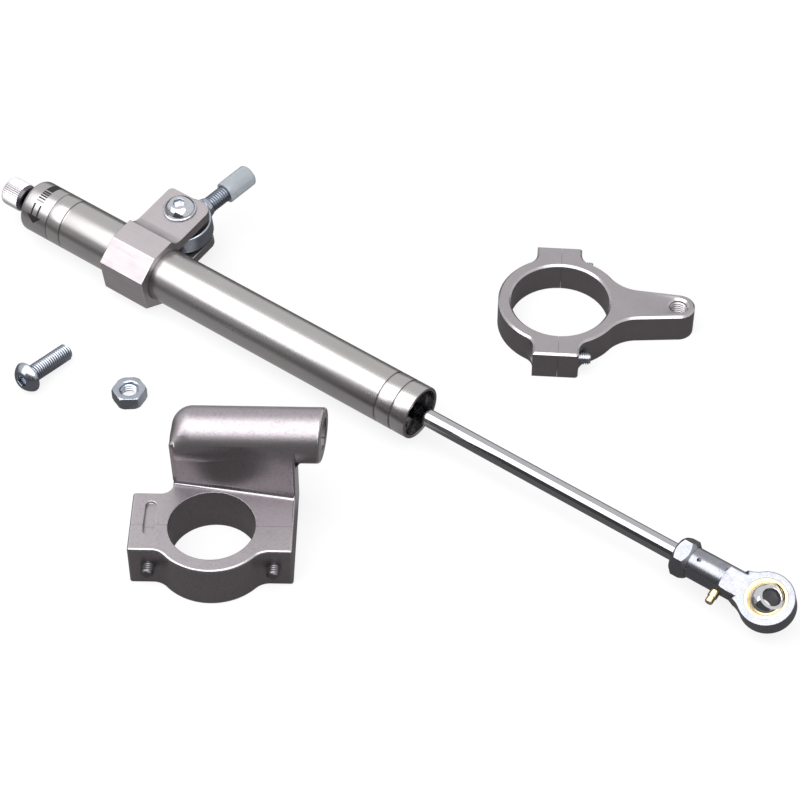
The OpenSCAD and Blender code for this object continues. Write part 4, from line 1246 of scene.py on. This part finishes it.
@dataclass
class LooseFasteners:
    """M8 button-head screw and M8 nut that lie beside the damper."""

    size: float = 8.0
    pitch: float = 1.25
    length: float = 25.0
    tip: float = 0.9
    nut_height: float = 6.5
    nut_bevel: float = 0.7

    def build(self) -> None:
        """Makes and dresses the loose screw and nut."""
        add_screws("loose_button_screw", "loose_screw", SCREW_PLACE, [turn("Y", -90)],
                   (self.size, self.pitch, self.length, self.tip), "zinc_plate", 0.25)
        add_softened("loose_hex_nut", "loose_nut", KIT, "zinc_plate", 0.25)
        ridge = thread_in_hole(self.size, self.pitch, self.nut_height - self.nut_bevel)
        place = NUT_PLACE @ shift(0, 0, self.nut_bevel / 2) @ turn("Y", -90)
        add_piece("nut_thread_ridge", placed(ridge, place), KIT, ["zinc_plate"])


# Studio


@dataclass
class Studio:
    """Pale floor that metal sees dark, a softbox, a dark card that only metal sees, both painted
    shade in reflections, and the photograph's camera.
    """

    camera_place: tuple[float, float, float] = (281.671, -629.636, 838.749)
    camera_look: tuple[float, float, float] = (-0.410017, 0.548182, -0.728959)
    lens: float = 116.78
    sensor: float = 36.0
    clip: tuple[float, float] = (0.05, 50.0)
    floor_size: float = 12000.0
    floor_gap: float = 0.02
    centre: tuple[float, float] = (-200.0, 0.0)
    floor_glow: float = 0.8
    # Share of white glow in the floor that metal sees; with the floor's dark colour for metal, this
    # paints shade into reflections
    floor_in_metal: float = 0.1
    # Share of white glow inside the painted band of light beside the tube
    painted_band_glow: float = 0.42
    # The painted band of light that metal sees on the floor: its end along X, its middle along Y
    # and its soft side, in metres
    painted_band_end: tuple[float, float] = (-0.190, -0.172)
    painted_band_y: float = -0.02
    painted_band_side: tuple[float, float] = (0.035, 0.045)
    # Metal sees the world greyer below this height in front: painted shade in its reflections
    reflection_shade_top: float = 33.0
    reflection_shade: float = 0.45
    reflection_shade_soft: float = 0.04
    room: float = 0.35
    card_left: float = -425.0
    card_right: float = 500.0
    card_y: float = -500.0
    card_top: float = 470.0
    # Glow of the card that only metal sees: a painted dark reflection
    painted_reflection_tone: float = 0.09
    lamp_place: tuple[float, float, float] = (-200.0, -550.0, 1178.0)
    lamp_size: tuple[float, float] = (2600.0, 1820.0)
    # Brightness of the lamp's face, where 1 shows as white
    lamp_radiance: float = 2.7

    def add_plane(self, name: str, material: Material, place: Matrix, width: float,
                  depth: float) -> Object:
        """Makes a flat piece of the studio.

        Args:
            name: The piece's name.
            material: Its material.
            place: Its centre and turn, in millimetres.
            width: Its size along its own X.
            depth: Its size along its own Y.

        Returns:
            The new object.
        """
        bm = bmesh.new()
        bmesh.ops.create_grid(bm, x_segments=1, y_segments=1, size=0.5)
        bmesh.ops.scale(bm, vec=(width, depth, 1), verts=bm.verts)
        placed(bm, Matrix.Scale(MM, 4) @ place)
        mesh = bpy.data.meshes.new(name)
        bm.to_mesh(mesh)
        bm.free()
        mesh.materials.append(material)
        plane = add_object(name, mesh)
        return plane

    def make_floor(self) -> None:
        """Metal sees it dark, as painted shade, apart from a painted band of light that lies beside
        the tube.
        """
        material, tree = new_material("studio floor, pale painted board")
        rays = add_node(tree, "ShaderNodeLightPath").outputs
        place = add_node(tree, "ShaderNodeTexCoord").outputs["Object"]
        axes = add_node(tree, "ShaderNodeSeparateXYZ", links={0: place}).outputs
        left = add_node(tree, "ShaderNodeMapRange",
                        {"From Min": self.painted_band_end[0], "From Max": self.painted_band_end[1],
                         "To Min": self.painted_band_glow, "To Max": self.floor_in_metal},
                        {"Value": axes["X"]}).outputs[0]
        moved = add_node(tree, "ShaderNodeMath", {"operation": "ADD", 1: -self.painted_band_y},
                         {0: axes["Y"]}).outputs[0]
        away = add_node(tree, "ShaderNodeMath", {"operation": "ABSOLUTE"}, {0: moved}).outputs[0]
        near = add_node(tree, "ShaderNodeMapRange",
                        {"From Min": self.painted_band_side[0], "From Max": self.painted_band_side[1],
                         "To Min": 1.0, "To Max": 0.0}, {"Value": away}).outputs[0]
        # Glow share for metal: high in the painted band of light beside the tube, low elsewhere
        painted_band_share = add_node(tree, "ShaderNodeMix", {"data_type": "FLOAT", 2: self.floor_in_metal},
                       {0: near, 3: left}).outputs[0]
        faint = add_node(tree, "ShaderNodeMath", {"operation": "MULTIPLY"},
                         {0: rays["Is Glossy Ray"], 1: painted_band_share}).outputs[0]
        seen = add_node(tree, "ShaderNodeMath", {"operation": "ADD"},
                        {0: rays["Is Camera Ray"], 1: rays["Is Transmission Ray"]}).outputs[0]
        both = add_node(tree, "ShaderNodeMath", {"operation": "MULTIPLY_ADD", 1: self.floor_glow},
                        {0: seen, 2: faint}).outputs[0]
        # Metal sees the floor in a dark colour: painted shade in its reflections
        colour = add_node(tree, "ShaderNodeMix",
                          {"data_type": "RGBA", 6: linear("f4f4f5"), 7: linear("4a4848")},
                          {0: rays["Is Glossy Ray"]})
        paint = add_node(tree, "ShaderNodeBsdfDiffuse", links={"Color": colour.outputs[2]})
        glow = add_node(tree, "ShaderNodeEmission", {"Color": linear("ffffff"), "Strength": 1.0})
        mix = add_node(tree, "ShaderNodeMixShader",
                       links={0: both, 1: paint.outputs[0], 2: glow.outputs[0]})
        add_node(tree, "ShaderNodeOutputMaterial", links={"Surface": mix.outputs[0]})
        self.add_plane("studio_floor", material,
                       shift(self.centre[0], self.centre[1], FLOOR_Z - self.floor_gap),
                       self.floor_size, self.floor_size)

    def make_card(self) -> None:
        """Makes the dark card in front of the rod, which only metal sees: a painted dark reflection
        that glows dimly and casts no shadow.
        """
        material, tree = new_material("studio card, painted dark reflection")
        glow = add_node(tree, "ShaderNodeEmission",
                        {"Color": linear("ffffff"), "Strength": self.painted_reflection_tone})
        add_node(tree, "ShaderNodeOutputMaterial", links={"Surface": glow.outputs[0]})
        middle = shift((self.card_left + self.card_right) / 2, self.card_y,
                       (self.card_top + FLOOR_Z) / 2)
        card = self.add_plane("painted_dark_reflection_card", material, middle @ turn("X", 90),
                              self.card_right - self.card_left, self.card_top - FLOOR_Z)
        card.visible_camera = False
        card.visible_diffuse = False
        card.visible_shadow = False
        card.visible_transmission = False

    def make_softbox(self) -> None:
        """Makes the rectangular soft lamp above the table."""
        data = bpy.data.lights.new("key_softbox", "AREA")
        data.shape = "RECTANGLE"
        data.size, data.size_y = (side * MM for side in self.lamp_size)
        data.energy = self.lamp_radiance * math.pi * data.size * data.size_y
        lamp = add_object("key_softbox", data)
        lamp.location = Vector(self.lamp_place) * MM
        aim = Vector((*self.centre, 0.0)) - Vector(self.lamp_place)
        lamp.rotation_euler = aim.to_track_quat("-Z", "Y").to_euler()
        lamp.visible_camera = False

    def make_world(self) -> None:
        """Makes the world: a pale backdrop, which metal sees greyer low in front as painted shade
        in its reflections, in a dim room.
        """
        world = bpy.data.worlds.new("studio_room")
        world.use_nodes = True
        tree = world.node_tree
        tree.nodes.clear()
        rays = add_node(tree, "ShaderNodeLightPath").outputs
        through = add_node(tree, "ShaderNodeMath", {"operation": "MAXIMUM"},
                           {0: rays["Is Glossy Ray"], 1: rays["Is Transmission Ray"]})
        share = add_node(tree, "ShaderNodeMath", {"operation": "MAXIMUM"},
                         {0: rays["Is Camera Ray"], 1: through.outputs[0]})
        direction = add_node(tree, "ShaderNodeTexCoord").outputs["Generated"]
        tilt = math.radians(self.reflection_shade_top)
        above = add_node(tree, "ShaderNodeVectorMath",
                         {"operation": "DOT_PRODUCT", 1: (0, math.sin(tilt), math.cos(tilt))},
                         {0: direction}).outputs["Value"]
        # Darker world low in front for metal alone: painted shade in its reflections
        reflection_shade = add_node(tree, "ShaderNodeMapRange",
                           {"From Min": -self.reflection_shade_soft, "From Max": self.reflection_shade_soft,
                            "To Min": self.reflection_shade, "To Max": 1.0}, {"Value": above})
        tone = add_node(tree, "ShaderNodeMath", {"operation": "MAXIMUM"},
                        {0: reflection_shade.outputs[0], 1: rays["Is Camera Ray"]})
        seen = add_node(tree, "ShaderNodeBackground", {"Color": linear("ffffff")},
                        {"Strength": tone.outputs[0]})
        room = add_node(tree, "ShaderNodeBackground",
                        {"Color": linear("ffffff"), "Strength": self.room})
        mix = add_node(tree, "ShaderNodeMixShader",
                       links={0: share.outputs[0], 1: room.outputs[0], 2: seen.outputs[0]})
        add_node(tree, "ShaderNodeOutputWorld", links={"Surface": mix.outputs[0]})
        bpy.context.scene.world = world

    def make_camera(self) -> None:
        """Makes the camera at the photograph's viewing angle."""
        data = bpy.data.cameras.new("photo_camera")
        data.lens = self.lens
        data.sensor_width = self.sensor
        data.clip_start, data.clip_end = self.clip
        camera = add_object("photo_camera", data)
        camera.location = Vector(self.camera_place) * MM
        camera.rotation_euler = Vector(self.camera_look).to_track_quat("-Z", "Y").to_euler()
        bpy.context.scene.camera = camera

    def build(self) -> None:
        """Sets up the studio."""
        bpy.context.scene.view_settings.view_transform = "Standard"
        self.make_camera()
        self.make_world()
        self.make_floor()
        self.make_card()
        self.make_softbox()


def main() -> None:
    logging.basicConfig(level=logging.INFO, format="%(message)s")
    for part in (Studio(), DamperTube(), Adjuster(), RodAssembly(), BodyClamp(), ForkClamp(),
                 FrameBracket(), LooseFasteners()):
        log.info("building %s", type(part).__name__)
        part.build()


if __name__ == "__main__":
    main()
